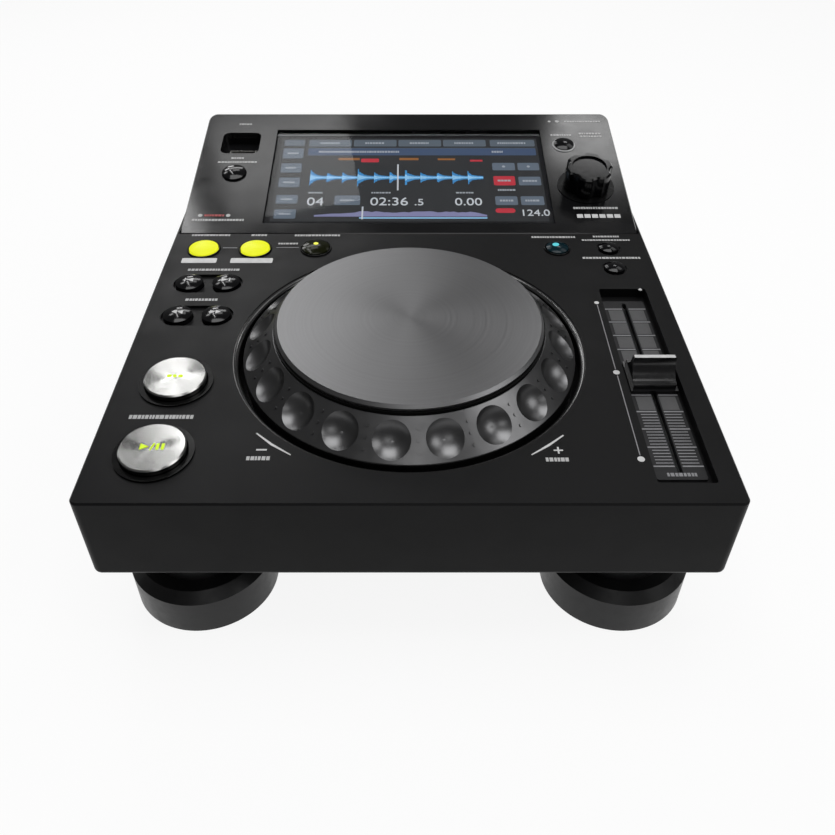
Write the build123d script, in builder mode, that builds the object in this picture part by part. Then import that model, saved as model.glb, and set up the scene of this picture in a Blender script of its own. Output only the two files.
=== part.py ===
from build123d import *
import os
from math import asin, cos, degrees, radians, sin, sqrt, tan

os.makedirs("parts", exist_ok=True)

# Units are millimetres. X runs to the right, Y to the back and Z up, with the origin on the table under the
# middle of the player. The main panel and the display section are two tilted planes: on each, x runs to the
# right, y runs up its slope from its front edge, and heights are measured along its outward normal.

# ---------------------------------------------------------------- overall body
WIDTH = 219.5
DEPTH = 301.5
HEIGHT = 102.4
UNDERSIDE = 37.2
PANEL_TILT = 2.8
PANEL_LENGTH = 168.3
SCREEN_TILT = 12.6
SCREEN_LENGTH = 99.65
SCREEN_INSET = 1.6
SCREEN_WIDTH = WIDTH - 2 * SCREEN_INSET
REAR_SHELF = 10.0
WALL = 2.5
CORNER_R = 3.0
LOWER_EDGE_R = 2.2
UPPER_EDGE = 0.6
FIT = 0.3
RUNNING = 0.04
OVERCUT = 1.0
LEFT = -WIDTH / 2
RIGHT = WIDTH / 2
FRONT = -DEPTH / 2
REAR = DEPTH / 2

# ---------------------------------------------------------------- display section
COVER_WALL = 2.2
COVER_CORNER_R = 4.0
COVER_EDGE = 0.6
COVER_REAR_LIP = 1.0
DECK_DEPTH = 2.5
DECK_THICK = 2.0
DECK_LEDGE = 5.2
WINDOW_WIDTH = 140.0
WINDOW_LENGTH = 77.0
WINDOW_Y = 46.4
GLASS_THICK = 1.1
GLASS_DEPTH = 1.1
LCD_WIDTH = 144.0
LCD_LENGTH = 74.0
LCD_THICK = 4.0
LCD_Y = 45.0
FRAME_WALL = 1.0
FRAME_EAR = 7.6
FRAME_EAR_SPREAD = 24.0
POCKET_X = LEFT + 21.55
POCKET_Y = 73.0
POCKET_WIDTH = 20.0
POCKET_LENGTH = 18.4
POCKET_DEPTH = 7.0
POCKET_CORNER_R = 3.5
POCKET_WALL = 1.2
DISPLAY_BOARD_TOP = 14.4
DISPLAY_BOARD_EDGE = 7.15
DISPLAY_BOARD_WIDTH = SCREEN_WIDTH - 2 * DISPLAY_BOARD_EDGE
DISPLAY_BOARD_LENGTH = 72.0
DISPLAY_BOARD_Y = 55.0

# ---------------------------------------------------------------- jog wheel
JOG_Y = 82.6
WELL_R = 68.7
WELL_WALL = 2.0
WELL_DEPTH = 14.0
WELL_FLOOR = 2.0
WELL_MOUTH_R = 36.0
DIAL_R = 64.8
DIAL_EDGE_HEIGHT = -0.6
DIAL_SKIRT = 7.0
DIAL_WALL = 3.0
DIAL_TOP_R = 52.3
DIAL_TOP_HEIGHT = 10.4
DIAL_LEDGE_R = 46.0
DIAL_WEB_TOP = 5.0
DIAL_WEB_THICK = 2.0
DIAL_SLOPE_THICK = 4.0
DIAL_HUB_R = 9.0
DIMPLE_COUNT = 20
DIMPLE_PHASE = -6.0
DIMPLE_R = 7.0
DIMPLE_SINK = 2.6
DIAL_EDGE = 0.5
NUB_R = 0.6
NUB_RISE = 0.4
NUB_PITCH = 4.2
RIM_R = 52.0
RIM_INNER_R = 44.0
RIM_HEIGHT = 1.2
PLATE_R = 51.4
PLATE_THICK = 2.3
PLATE_CHAMFER = 1.1
SHAFT_R = 4.0
SHAFT_FLANGE_R = 8.0
SHAFT_FLANGE_THICK = 1.5
BUSH_R = 6.5
BUSH_TOP = -10.0
BUSH_LENGTH = 14.0
BUSH_PROUD = 1.0
HOLDER_R = 48.0
HOLDER_THICK = 2.0
HOLDER_HUB_R = 10.0
HOLDER_SCREW_R = 42.0
CLIP_THICK = 0.8
CLIP_R = 6.0
CLIP_GROOVE_R = 3.1
CODE_R = 52.0
CODE_COLLAR_R = 30.0
CODE_COLLAR_WALL = 1.6
CODE_THICK = 0.5
CODE_HEIGHT = -9.6
CODE_SLOTS = 60
CODE_SLOT_LENGTH = 3.0
CODE_SLOT_WIDTH = 1.2
SENSOR_BOARD_THICK = 1.2
SENSOR_ARM = 1.5

# ---------------------------------------------------------------- tempo fader
FADER_X = RIGHT - 18.25
FADER_Y = 65.8
FADER_TRAVEL = 46.0
RECESS_WIDTH = 20.0
RECESS_LENGTH = 113.0
RECESS_DEPTH = 4.1
RECESS_WALL = 1.5
RECESS_FLOOR = 1.6
RECESS_CORNER_R = 1.0
SCALE_WIDTH = 17.4
SCALE_LENGTH = 104.0
SCALE_THICK = 0.8
SLIT_WIDTH = 1.8
CAP_WIDTH = 16.0
CAP_LENGTH = 15.0
CAP_RIDGE = 8.0
CAP_RIDGE_WIDTH = 2.0
CAP_LIP = 0.8
CAP_LIP_WIDTH = 2.0
CAP_LIP_BEVEL = 0.6
CAP_SAG = 1.2
CAP_FOOT_WIDTH = 17.6
CAP_FOOT_LENGTH = 17.4
CAP_FOOT_THICK = 1.5
LEVER_THICK = 1.2
LEVER_LENGTH = 5.0
LEVER_TOP = 2.4
CARRIAGE_WIDTH = 8.0
CARRIAGE_LENGTH = 10.0
CARRIAGE_HEIGHT = 3.6
FADER_BODY_WIDTH = 12.0
FADER_BODY_WALL = 1.2

# ---------------------------------------------------------------- buttons, as (name, x, y, radius)
PANEL_BUTTONS = [
    ("loop_in_button", LEFT + 15.65, 154.6, 6.6),
    ("loop_out_button", LEFT + 39.25, 154.6, 6.6),
    ("reloop_button", LEFT + 67.05, 155.2, 6.2),
    ("track_back_button", LEFT + 14.55, 126.6, 5.9),
    ("track_forward_button", LEFT + 30.55, 126.6, 5.9),
    ("search_back_button", LEFT + 14.35, 102.8, 5.9),
    ("search_forward_button", LEFT + 30.25, 102.8, 5.9),
    ("vinyl_mode_button", RIGHT - 41.65, 155.0, 5.0),
    ("tempo_range_button", RIGHT - 17.95, 155.2, 4.4),
    ("master_tempo_button", RIGHT - 18.25, 138.6, 4.4),
]
PAIRED_BUTTONS = [PANEL_BUTTONS[3:5], PANEL_BUTTONS[5:7]]
SCREEN_BUTTONS = [
    ("usb_stop_button", LEFT + 21.35, 46.8, 6.0),
    ("back_button", RIGHT - 28.45, 71.0, 5.2),
]
TRANSPORT_BUTTONS = [
    ("cue_button", LEFT + 22.75, 60.2),
    ("play_button", LEFT + 22.75, 23.0),
]
BUTTON_TOP = 0.9
BUTTON_CROWN = 1.0
BUTTON_TRAVEL = 0.7
BUTTON_FLANGE = 0.9
BUTTON_FLANGE_THICK = 1.2
BUTTON_STEM_R = 1.7
BUTTON_HALO = 1.1
BUTTON_HALO_DEPTH = 0.5
PAIR_DEPTH = 1.2
TRANSPORT_R = 11.5
TRANSPORT_TOP = 3.2
TRANSPORT_TRAVEL = 1.0
TRANSPORT_BEVEL = 0.5
BEZEL_R = 13.8
BEZEL_LIP = 0.7
BEZEL_WALL = 0.9
BEZEL_DEPTH = 6.0
SWITCH_SIZE = 6.2
SWITCH_HEIGHT = 3.0
SWITCH_PLUNGER_R = 1.7
SWITCH_PLUNGER = 0.9
SWITCH_CLEARANCE = 0.1

# ---------------------------------------------------------------- rotary selector
SELECTOR_X = RIGHT - 21.55
SELECTOR_Y = 36.4
KNOB_R = 11.5
KNOB_FOOT = 1.0
KNOB_TOP = 11.7
KNOB_LOBES = 6
KNOB_SCALLOP_R = 5.0
KNOB_SCALLOP_DEPTH = 1.6
KNOB_PHASE = -15.0
KNOB_DISH_R = 8.4
KNOB_DISH = 0.9
KNOB_ROOF = 2.6
KNOB_EDGE = 0.8
SELECTOR_TRAVEL = 0.5
SELECTOR_RING_R = 14.0
SELECTOR_RING_THICK = 0.4
STEM_R = 3.0
STEM_COLLAR_R = 4.2
STEM_COLLAR = 1.0
ENCODER_SIZE = 12.6
ENCODER_HEIGHT = 6.4
ENCODER_NECK_R = 4.5
ENCODER_CHAMBER_R = 4.6
ENCODER_FLOOR = 0.8
SLIDER_R = 4.2
SLIDER_THICK = 1.4

# ---------------------------------------------------------------- boards inside
BOARD_THICK = 1.6
PANEL_BOARD_TOP = 14.0
PANEL_BOARD_EDGE = 10.25
PANEL_BOARD_WIDTH = WIDTH - 2 * PANEL_BOARD_EDGE
PANEL_BOARD_START = 6.0
PANEL_BOARD_END = 163.0
PANEL_BOARD_GAP = 2.3
PANEL_BOARD_MOUTH = 120.0
PANEL_POSTS = [
    (LEFT + 42.75, 14.0),
    (LEFT + 13.25, 141.0),
    (LEFT + 12.75, 81.0),
    (RIGHT - 42.75, 14.0),
    (RIGHT - 34.75, 138.0),
]
SCREEN_POSTS = [(LEFT + 12.75, 30.0), (LEFT + 12.75, 86.0), (RIGHT - 12.75, 60.0), (RIGHT - 12.75, 86.0)]
MAIN_BOARD_WIDTH = 168.0
MAIN_BOARD_LENGTH = 190.0
MAIN_BOARD_Y = -8.0
MAIN_BOARD_LIFT = 6.5
SHIELD_X = 35.0
SHIELD_Y = 38.0
SHIELD_WIDTH = 70.0
SHIELD_LENGTH = 56.0
SHIELD_HEIGHT = 7.0
SHIELD_WALL = 0.6
JACK_BOARD_EDGE = 11.75
JACK_BOARD_WIDTH = WIDTH - 2 * JACK_BOARD_EDGE
JACK_BOARD_LENGTH = 40.0
JACK_BOARD_HEIGHT = 18.0
POST_R = 3.0
POST_PILOT_R = 1.15

# ---------------------------------------------------------------- bottom and rear
BASE_THICK = 2.5
BASE_RIM = 1.8
BASE_RIM_HEIGHT = 8.0
REAR_BAY = 9.0
REAR_PANEL_THICK = 2.0
REAR_RIB = 1.5
VENT_COUNT = 12
VENT_PITCH = 7.0
VENT_WIDTH = 2.4
VENT_LENGTH = 42.0
VENT_X = 45.0
VENT_Y = 30.0
BOSS_INSET = 6.2
BOSS_R = 3.4
BOSS_Y = [FRONT + 10.75, 10.0, REAR - 22.75]
SCREW_R = 1.5
SCREW_HEAD_R = 2.9
SCREW_HEAD = 1.6
SCREW_LENGTH = 12.0
SCREW_PLAY = 0.05
SMALL_SCREW_R = 1.1
SMALL_SCREW_HEAD_R = 2.1
SMALL_SCREW_HEAD = 1.2
SMALL_SCREW_LENGTH = 6.0
SHORT_SCREW_LENGTH = 4.0

# ---------------------------------------------------------------- feet
FOOT_X = RIGHT - 28.95
FOOT_Y = REAR - 30.8
FOOT_R = 27.8
FOOT_SIDE_TOP = 16.0
FOOT_SHOULDER_R = 24.0
FOOT_TOP = 19.5
FOOT_NECK_R = 19.0
FOOT_LIFT = 0.6
PAD_R = 22.0
PAD_HOLE_R = 9.0
PAD_THICK = 2.0
FOOT_SCREW_R = 2.0
FOOT_SCREW_HEAD_R = 4.0
FOOT_SCREW_HEAD = 2.4
FOOT_SCREW_LENGTH = 16.0
FOOT_SCREW_SINK = 26.0
FOOT_WELL_R = 6.0
FOOT_BOSS_R = 8.0
FOOT_BOSS_HEIGHT = 6.0

# ---------------------------------------------------------------- rear sockets, by their x
POWER_X = RIGHT - 17.75
DC_X = RIGHT - 39.75
USB_B_X = 40.0
LAN_X = 10.0
RCA_X = [-42.0, -60.0]
LOCK_X = LEFT + 17.75
LAN_SIZE = (16.0, 21.0, 13.6)
LAN_MOUTH = (11.8, 13.0, 8.4)
LAN_FLOOR = 2.4
LAN_LATCH = 3.2
USB_B_SIZE = (12.0, 16.5, 10.8)
USB_B_MOUTH = (8.5, 9.5, 7.8)
USB_B_TONGUE = (5.6, 8.8, 3.2)
USB_B_CORNER = 1.6
DC_SIZE = (9.0, 14.0, 11.0)
DC_MOUTH_R = 3.2
DC_PIN_R = 1.0
DC_DEPTH = 9.5
RCA_SIZE = (10.0, 11.0, 12.5)
RCA_BARREL_R = 4.15
RCA_COLLAR_R = 4.9
RCA_BARREL = 8.0
RCA_BORE_R = 1.7
RCA_AXIS_HEIGHT = 7.0
POWER_SIZE = (9.0, 6.0)
POWER_PROUD = 4.0
POWER_TRAVEL = 2.5
POWER_FLANGE = 1.0
POWER_STEM = 4.0
POWER_SWITCH = (9.0, 11.0, 9.0)
POWER_BORE = 6.0
USB_A_SIZE = (14.4, 6.8, 13.6)
USB_A_MOUTH = (12.4, 5.0)
USB_A_DEPTH = 11.0
USB_A_TONGUE = (11.2, 1.9)
USB_A_EAR = 2.0
LOCK_SLOT = (7.4, 3.2)

# ---------------------------------------------------------------- derived places
STEP_Y = FRONT + PANEL_LENGTH * cos(radians(PANEL_TILT))
STEP_Z = HEIGHT - SCREEN_LENGTH * sin(radians(SCREEN_TILT))
FRONT_Z = STEP_Z - PANEL_LENGTH * sin(radians(PANEL_TILT))
PEAK_Y = PANEL_LENGTH + SCREEN_LENGTH * cos(radians(SCREEN_TILT - PANEL_TILT))
PEAK_HEIGHT = SCREEN_LENGTH * sin(radians(SCREEN_TILT - PANEL_TILT))
PANEL_REACH = DEPTH / cos(radians(PANEL_TILT))
COVER_END = PANEL_REACH - REAR_SHELF
BASE_TOP = UNDERSIDE + BASE_THICK
REAR_PANEL_Y = REAR - REAR_BAY
INNER_X = WIDTH / 2 - WALL
JACK_BOARD_TOP = BASE_TOP + JACK_BOARD_HEIGHT + BOARD_THICK
MAIN_BOARD_BOTTOM = BASE_TOP + MAIN_BOARD_LIFT
MAIN_BOARD_TOP = MAIN_BOARD_BOTTOM + BOARD_THICK
SCALE_TOP = -RECESS_DEPTH + SCALE_THICK
FADER_BODY_TOP = -RECESS_DEPTH - RECESS_FLOOR
WINDOW_BACK = GLASS_DEPTH + GLASS_THICK
LCD_BACK = WINDOW_BACK + LCD_THICK
POWER_Z = JACK_BOARD_TOP + POWER_SWITCH[2] / 2
JACK_BOARD_Y = REAR_PANEL_Y - REAR_PANEL_THICK - FIT - JACK_BOARD_LENGTH / 2
HOLDER_SCREWS = 3
MAIN_CHIPS = [
    (35.0, 38.0, 22.0, 22.0, 2.0),
    (-36.0, 24.0, 18.0, 18.0, 1.8),
    (-36.0, 62.0, 12.0, 20.0, 1.4),
    (-68.0, 30.0, 8.0, 30.0, 5.0),
    (70.0, -40.0, 8.0, 24.0, 5.0),
    (-60.0, -52.0, 16.0, 16.0, 1.6),
    (0.0, -12.0, 30.0, 6.0, 3.0),
    (40.0, 80.0, 34.0, 6.0, 6.0),
]
MAIN_CANS = [(-70.0, 62.0, 5.0, 9.0), (-57.0, 76.0, 4.0, 8.0), (-70.0, 76.0, 4.0, 8.0), (-18.0, 76.0, 3.0, 6.0)]
PANEL_CHIPS = [
    (-40.0, 159.0, 20.0, 5.0, 2.4),
    (LEFT + 21.75, 114.5, 6.0, 6.0, 1.4),
    (RIGHT - 25.75, 147.0, 7.0, 7.0, 1.4),
]
SCREEN_CHIPS = [(-20.0, 60.0, 26.0, 26.0, 2.0), (40.0, 40.0, 36.0, 5.0, 3.0), (60.0, 74.0, 12.0, 12.0, 1.6)]
JACK_CHIPS = [(-10.0, 112.0, 30.0, 5.0, 5.0), (-51.0, 112.0, 10.0, 12.0, 1.6), (62.0, 112.0, 12.0, 12.0, 6.0)]

panel = Plane(
    origin=(0, FRONT, FRONT_Z),
    x_dir=(1, 0, 0),
    z_dir=(0, -sin(radians(PANEL_TILT)), cos(radians(PANEL_TILT))),
)
screen = Plane(
    origin=(0, STEP_Y, STEP_Z),
    x_dir=(1, 0, 0),
    z_dir=(0, -sin(radians(SCREEN_TILT)), cos(radians(SCREEN_TILT))),
)
panel_side = Plane(origin=panel.origin, x_dir=panel.y_dir, z_dir=(1, 0, 0))
panel_up = Axis(panel.origin, panel.z_dir)
screen_up = Axis(screen.origin, screen.z_dir)


def spot(plane, x, y, height=0.0):
    """The plane moved to a place on itself, and along its normal."""
    return Plane(
        origin=plane.from_local_coords((x, y, height)),
        x_dir=plane.x_dir,
        z_dir=plane.z_dir,
    )


def section(plane, x, y):
    """An upright plane through a place on a plane: x to the right, y along the normal."""
    return Plane(origin=plane.from_local_coords((x, y, 0)), x_dir=plane.x_dir, z_dir=-plane.y_dir)


def axis_at(plane, x, y):
    """The line along a plane's normal through a place on it."""
    return Axis(plane.from_local_coords((x, y, 0)), plane.z_dir)


def height_under_panel(y, depth):
    """The z of the surface that lies a given depth under the main panel's plane."""
    return FRONT_Z + (y - FRONT) * tan(radians(PANEL_TILT)) - depth / cos(radians(PANEL_TILT))


def side_point(y, z):
    """A place in the middle of the player, as seen on the side plane."""
    place = panel_side.to_local_coords(Vector(0, y, z))
    return (place.X, place.Y)


def finish(builder, name):
    """Labels a finished piece and writes it under its own name."""
    builder.part.label = name
    export_step(builder.part, f"parts/{name}.step")


jog = spot(panel, 0, JOG_Y)
fader = spot(panel, FADER_X, FADER_Y)
selector = spot(screen, SELECTOR_X, SELECTOR_Y)
jog_section = section(panel, 0, JOG_Y)
jog_axis = axis_at(panel, 0, JOG_Y)
REAR_PANEL_TOP = height_under_panel(REAR_PANEL_Y - REAR_PANEL_THICK, DECK_DEPTH + DECK_THICK + FIT)
boss_spots = [(side * (WIDTH / 2 - BOSS_INSET), y) for side in (-1, 1) for y in BOSS_Y]
foot_spots = {
    "foot_front_left": (-FOOT_X, -FOOT_Y),
    "foot_front_right": (FOOT_X, -FOOT_Y),
    "foot_rear_left": (-FOOT_X, FOOT_Y),
    "foot_rear_right": (FOOT_X, FOOT_Y),
}
main_posts = [
    (side * (MAIN_BOARD_WIDTH / 2 - 2 * POST_R), MAIN_BOARD_Y + end * (MAIN_BOARD_LENGTH / 2 - 2 * POST_R))
    for side in (-1, 1)
    for end in (-1, 1)
]
jack_posts = [
    (side * (JACK_BOARD_WIDTH / 2 - 2 * POST_R), JACK_BOARD_Y - JACK_BOARD_LENGTH / 2 + 2 * POST_R)
    for side in (-1, 1)
]
ear_spots = [
    (side * (LCD_WIDTH / 2 + FRAME_WALL + FRAME_EAR / 2), LCD_Y + end * FRAME_EAR_SPREAD / 2)
    for side in (-1, 1)
    for end in (-1, 1)
]

# ================================================================ casing

# Top case: the main panel, front wall and side walls in one moulding, open below and behind, with the jog
# well, the tempo recess and a lowered deck that the display cover stands on.
with BuildPart() as top_case:
    with BuildSketch(panel_side):
        with BuildLine():
            Polyline(
                (0, 0),
                (PANEL_REACH, 0),
                side_point(REAR, UNDERSIDE),
                side_point(FRONT, UNDERSIDE),
                close=True,
            )
        make_face()
    extrude(amount=WIDTH / 2, both=True)
    fillet(top_case.edges().filter_by(Axis.Z), radius=CORNER_R)
    fillet(
        top_case.edges().filter_by(Axis.Y).group_by(Axis.Z)[0],
        radius=LOWER_EDGE_R,
    )
    chamfer(top_case.faces().sort_by(panel_up)[-1].outer_wire().edges(), length=UPPER_EDGE)
    with BuildSketch(panel_side):
        with BuildLine():
            Polyline(
                side_point(FRONT + WALL, UNDERSIDE - OVERCUT),
                side_point(REAR + OVERCUT, UNDERSIDE - OVERCUT),
                (PANEL_REACH + OVERCUT, -WALL),
                (WALL, -WALL),
                close=True,
            )
        make_face()
    extrude(amount=INNER_X, both=True, mode=Mode.SUBTRACT)
    # deck under the display cover
    with BuildSketch(spot(panel, 0, (PANEL_LENGTH + COVER_END) / 2, -DECK_DEPTH)):
        Rectangle(2 * INNER_X, COVER_END - PANEL_LENGTH + 2 * DECK_THICK)
    extrude(amount=-DECK_THICK)
    with BuildSketch(spot(panel, 0, (PANEL_LENGTH + COVER_END + FIT) / 2, -DECK_DEPTH)):
        Rectangle(SCREEN_WIDTH + 2 * FIT, COVER_END + FIT - PANEL_LENGTH)
    extrude(amount=DECK_DEPTH + OVERCUT, mode=Mode.SUBTRACT)
    with BuildSketch(spot(panel, 0, (PANEL_LENGTH + COVER_END) / 2, OVERCUT)):
        Rectangle(SCREEN_WIDTH - 2 * DECK_LEDGE, COVER_END - PANEL_LENGTH - 2 * DECK_LEDGE)
    extrude(amount=-DECK_DEPTH - DECK_THICK - 2 * OVERCUT, mode=Mode.SUBTRACT)
    # jog well
    with BuildSketch(jog):
        Circle(WELL_R + WELL_WALL)
    extrude(amount=-WELL_DEPTH - WELL_FLOOR)
    with BuildSketch(jog.offset(-WELL_DEPTH)):
        Circle(WELL_R)
    extrude(amount=WELL_DEPTH + OVERCUT, mode=Mode.SUBTRACT)
    with BuildSketch(jog):
        Circle(WELL_MOUTH_R)
        with PolarLocations(HOLDER_SCREW_R, HOLDER_SCREWS):
            Circle(SMALL_SCREW_R + SCREW_PLAY)
    extrude(amount=-WELL_DEPTH - WELL_FLOOR - OVERCUT, mode=Mode.SUBTRACT)
    # bosses that the case screws enter from below
    for x, y in boss_spots:
        roof = WALL / 2 if y < STEP_Y else DECK_DEPTH + DECK_THICK / 2
        with BuildSketch(Plane.XY.offset(BASE_TOP)):
            with Locations((x, y)):
                Circle(BOSS_R)
        extrude(amount=height_under_panel(y, roof) - BASE_TOP)
    with BuildSketch(Plane.XY.offset(BASE_TOP)):
        with Locations(*boss_spots):
            Circle(SCREW_R + SCREW_PLAY)
    extrude(amount=SCREW_LENGTH + OVERCUT, mode=Mode.SUBTRACT)
    # tempo recess
    with BuildSketch(fader):
        Rectangle(RECESS_WIDTH + 2 * RECESS_WALL, RECESS_LENGTH + 2 * RECESS_WALL)
    extrude(amount=-RECESS_DEPTH - RECESS_FLOOR)
    with BuildSketch(fader.offset(-RECESS_DEPTH)):
        RectangleRounded(RECESS_WIDTH, RECESS_LENGTH, RECESS_CORNER_R)
    extrude(amount=RECESS_DEPTH + OVERCUT, mode=Mode.SUBTRACT)
    with BuildSketch(fader):
        SlotOverall(2 * FADER_TRAVEL + LEVER_LENGTH + 2 * SLIT_WIDTH, SLIT_WIDTH, rotation=90)
    extrude(amount=-RECESS_DEPTH - RECESS_FLOOR - OVERCUT, mode=Mode.SUBTRACT)
    # button holes, each with a shallow halo round it
    for name, x, y, radius in PANEL_BUTTONS:
        with BuildSketch(spot(panel, x, y, OVERCUT)):
            Circle(radius + FIT)
        extrude(amount=-WALL - 2 * OVERCUT, mode=Mode.SUBTRACT)
        with BuildSketch(spot(panel, x, y, -BUTTON_HALO_DEPTH)):
            Circle(radius + BUTTON_HALO)
        extrude(amount=BUTTON_HALO_DEPTH + OVERCUT, mode=Mode.SUBTRACT)
    # shallow oval recesses that the track and search buttons share in pairs
    for (name, left_x, y, radius), (name, right_x, y, radius) in PAIRED_BUTTONS:
        with BuildSketch(spot(panel, (left_x + right_x) / 2, y, -PAIR_DEPTH)):
            SlotCenterToCenter(right_x - left_x, 2 * (radius + BUTTON_HALO))
        extrude(amount=PAIR_DEPTH + OVERCUT, mode=Mode.SUBTRACT)
    for name, x, y in TRANSPORT_BUTTONS:
        with BuildSketch(spot(panel, x, y, OVERCUT)):
            Circle(TRANSPORT_R + 2 * FIT + BEZEL_WALL)
        extrude(amount=-WALL - 2 * OVERCUT, mode=Mode.SUBTRACT)
    # posts that carry the panel board
    for x, y in PANEL_POSTS:
        with BuildSketch(spot(panel, x, y, -WALL)):
            Circle(POST_R)
        extrude(amount=WALL - PANEL_BOARD_TOP)
        with BuildSketch(spot(panel, x, y, -PANEL_BOARD_TOP)):
            Circle(POST_PILOT_R)
        extrude(amount=SMALL_SCREW_LENGTH, mode=Mode.SUBTRACT)
    # ribs that hold the rear panel
    for y in (REAR_PANEL_Y - REAR_PANEL_THICK - FIT / 2 - REAR_RIB / 2, REAR_PANEL_Y + FIT / 2 + REAR_RIB / 2):
        with BuildSketch(Plane.XY.offset(BASE_TOP + BASE_RIM_HEIGHT)):
            with Locations((-INNER_X, y), (INNER_X, y)):
                Rectangle(2 * REAR_RIB, REAR_RIB)
        extrude(amount=REAR_PANEL_TOP - BASE_TOP - BASE_RIM_HEIGHT)
finish(top_case, "top_case")

# Display cover: the steeper wedge behind the panel, hollow, with the display window, the USB pocket and the
# holes for its two buttons and the selector.
with BuildPart() as display_cover:
    with BuildSketch(panel_side) as cover_outline:
        with BuildLine():
            Polyline(
                (PANEL_LENGTH + FIT, -DECK_DEPTH),
                (PANEL_LENGTH + FIT, 0),
                (PEAK_Y, PEAK_HEIGHT),
                (COVER_END, COVER_REAR_LIP),
                (COVER_END, -DECK_DEPTH),
                close=True,
            )
        make_face()
    extrude(amount=SCREEN_WIDTH / 2, both=True)
    rear_slope = display_cover.faces().sort_by(Axis.Y)[-2]
    fillet(rear_slope.edges().filter_by(Axis.X, reverse=True), radius=COVER_CORNER_R)
    chamfer(display_cover.faces().sort_by(screen_up)[-1].outer_wire().edges(), length=COVER_EDGE)
    with BuildSketch(panel_side):
        add(cover_outline.sketch_local)
        offset(amount=-COVER_WALL, kind=Kind.INTERSECTION)
    extrude(amount=SCREEN_WIDTH / 2 - COVER_WALL, both=True, mode=Mode.SUBTRACT)
    # open floor, inside the deck's ledge
    with BuildSketch(spot(panel, 0, (PANEL_LENGTH + COVER_END) / 2, -DECK_DEPTH - OVERCUT)):
        Rectangle(SCREEN_WIDTH - 2 * DECK_LEDGE, COVER_END - PANEL_LENGTH - 2 * DECK_LEDGE)
    extrude(amount=OVERCUT + COVER_WALL + FIT, mode=Mode.SUBTRACT)
    # bay for the display and its frame
    with BuildSketch(spot(screen, 0, LCD_Y, -COVER_WALL)):
        Rectangle(LCD_WIDTH + 2 * FRAME_WALL + 4 * FIT, LCD_LENGTH + 2 * FRAME_WALL + 4 * FIT)
    extrude(amount=-DISPLAY_BOARD_TOP, mode=Mode.SUBTRACT)
    with BuildSketch(spot(screen, 0, WINDOW_Y, OVERCUT)):
        Rectangle(WINDOW_WIDTH, WINDOW_LENGTH)
    extrude(amount=-COVER_WALL - 2 * OVERCUT, mode=Mode.SUBTRACT)
    # tub of the USB pocket
    with BuildSketch(spot(screen, POCKET_X, POCKET_Y)):
        RectangleRounded(
            POCKET_WIDTH + 2 * POCKET_WALL,
            POCKET_LENGTH + 2 * POCKET_WALL,
            POCKET_CORNER_R + POCKET_WALL,
        )
    extrude(amount=-POCKET_DEPTH - POCKET_WALL)
    with BuildSketch(spot(screen, POCKET_X, POCKET_Y, -POCKET_DEPTH)):
        RectangleRounded(POCKET_WIDTH, POCKET_LENGTH, POCKET_CORNER_R)
    extrude(amount=POCKET_DEPTH + OVERCUT, mode=Mode.SUBTRACT)
    with BuildSketch(spot(screen, POCKET_X, POCKET_Y)):
        Rectangle(USB_A_SIZE[0] + 2 * FIT, USB_A_SIZE[1] + 2 * FIT)
    extrude(amount=-POCKET_DEPTH - POCKET_WALL - OVERCUT, mode=Mode.SUBTRACT)
    # button and selector holes
    for name, x, y, radius in SCREEN_BUTTONS:
        with BuildSketch(spot(screen, x, y, OVERCUT)):
            Circle(radius + FIT)
        extrude(amount=-COVER_WALL - 2 * OVERCUT, mode=Mode.SUBTRACT)
    with BuildSketch(selector.offset(OVERCUT)):
        Circle(ENCODER_NECK_R + FIT)
    extrude(amount=-COVER_WALL - 2 * OVERCUT, mode=Mode.SUBTRACT)
    # posts that carry the display board, and shorter ones for the display frame's ears
    for places, length in ((SCREEN_POSTS, DISPLAY_BOARD_TOP), (ear_spots, LCD_BACK)):
        for x, y in places:
            with BuildSketch(spot(screen, x, y, -COVER_WALL / 2)):
                Circle(POST_R)
            extrude(amount=COVER_WALL / 2 - length)
            with BuildSketch(spot(screen, x, y, -length)):
                Circle(POST_PILOT_R)
            extrude(amount=min(SMALL_SCREW_LENGTH, length - COVER_WALL), mode=Mode.SUBTRACT)
finish(display_cover, "display_cover")

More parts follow.
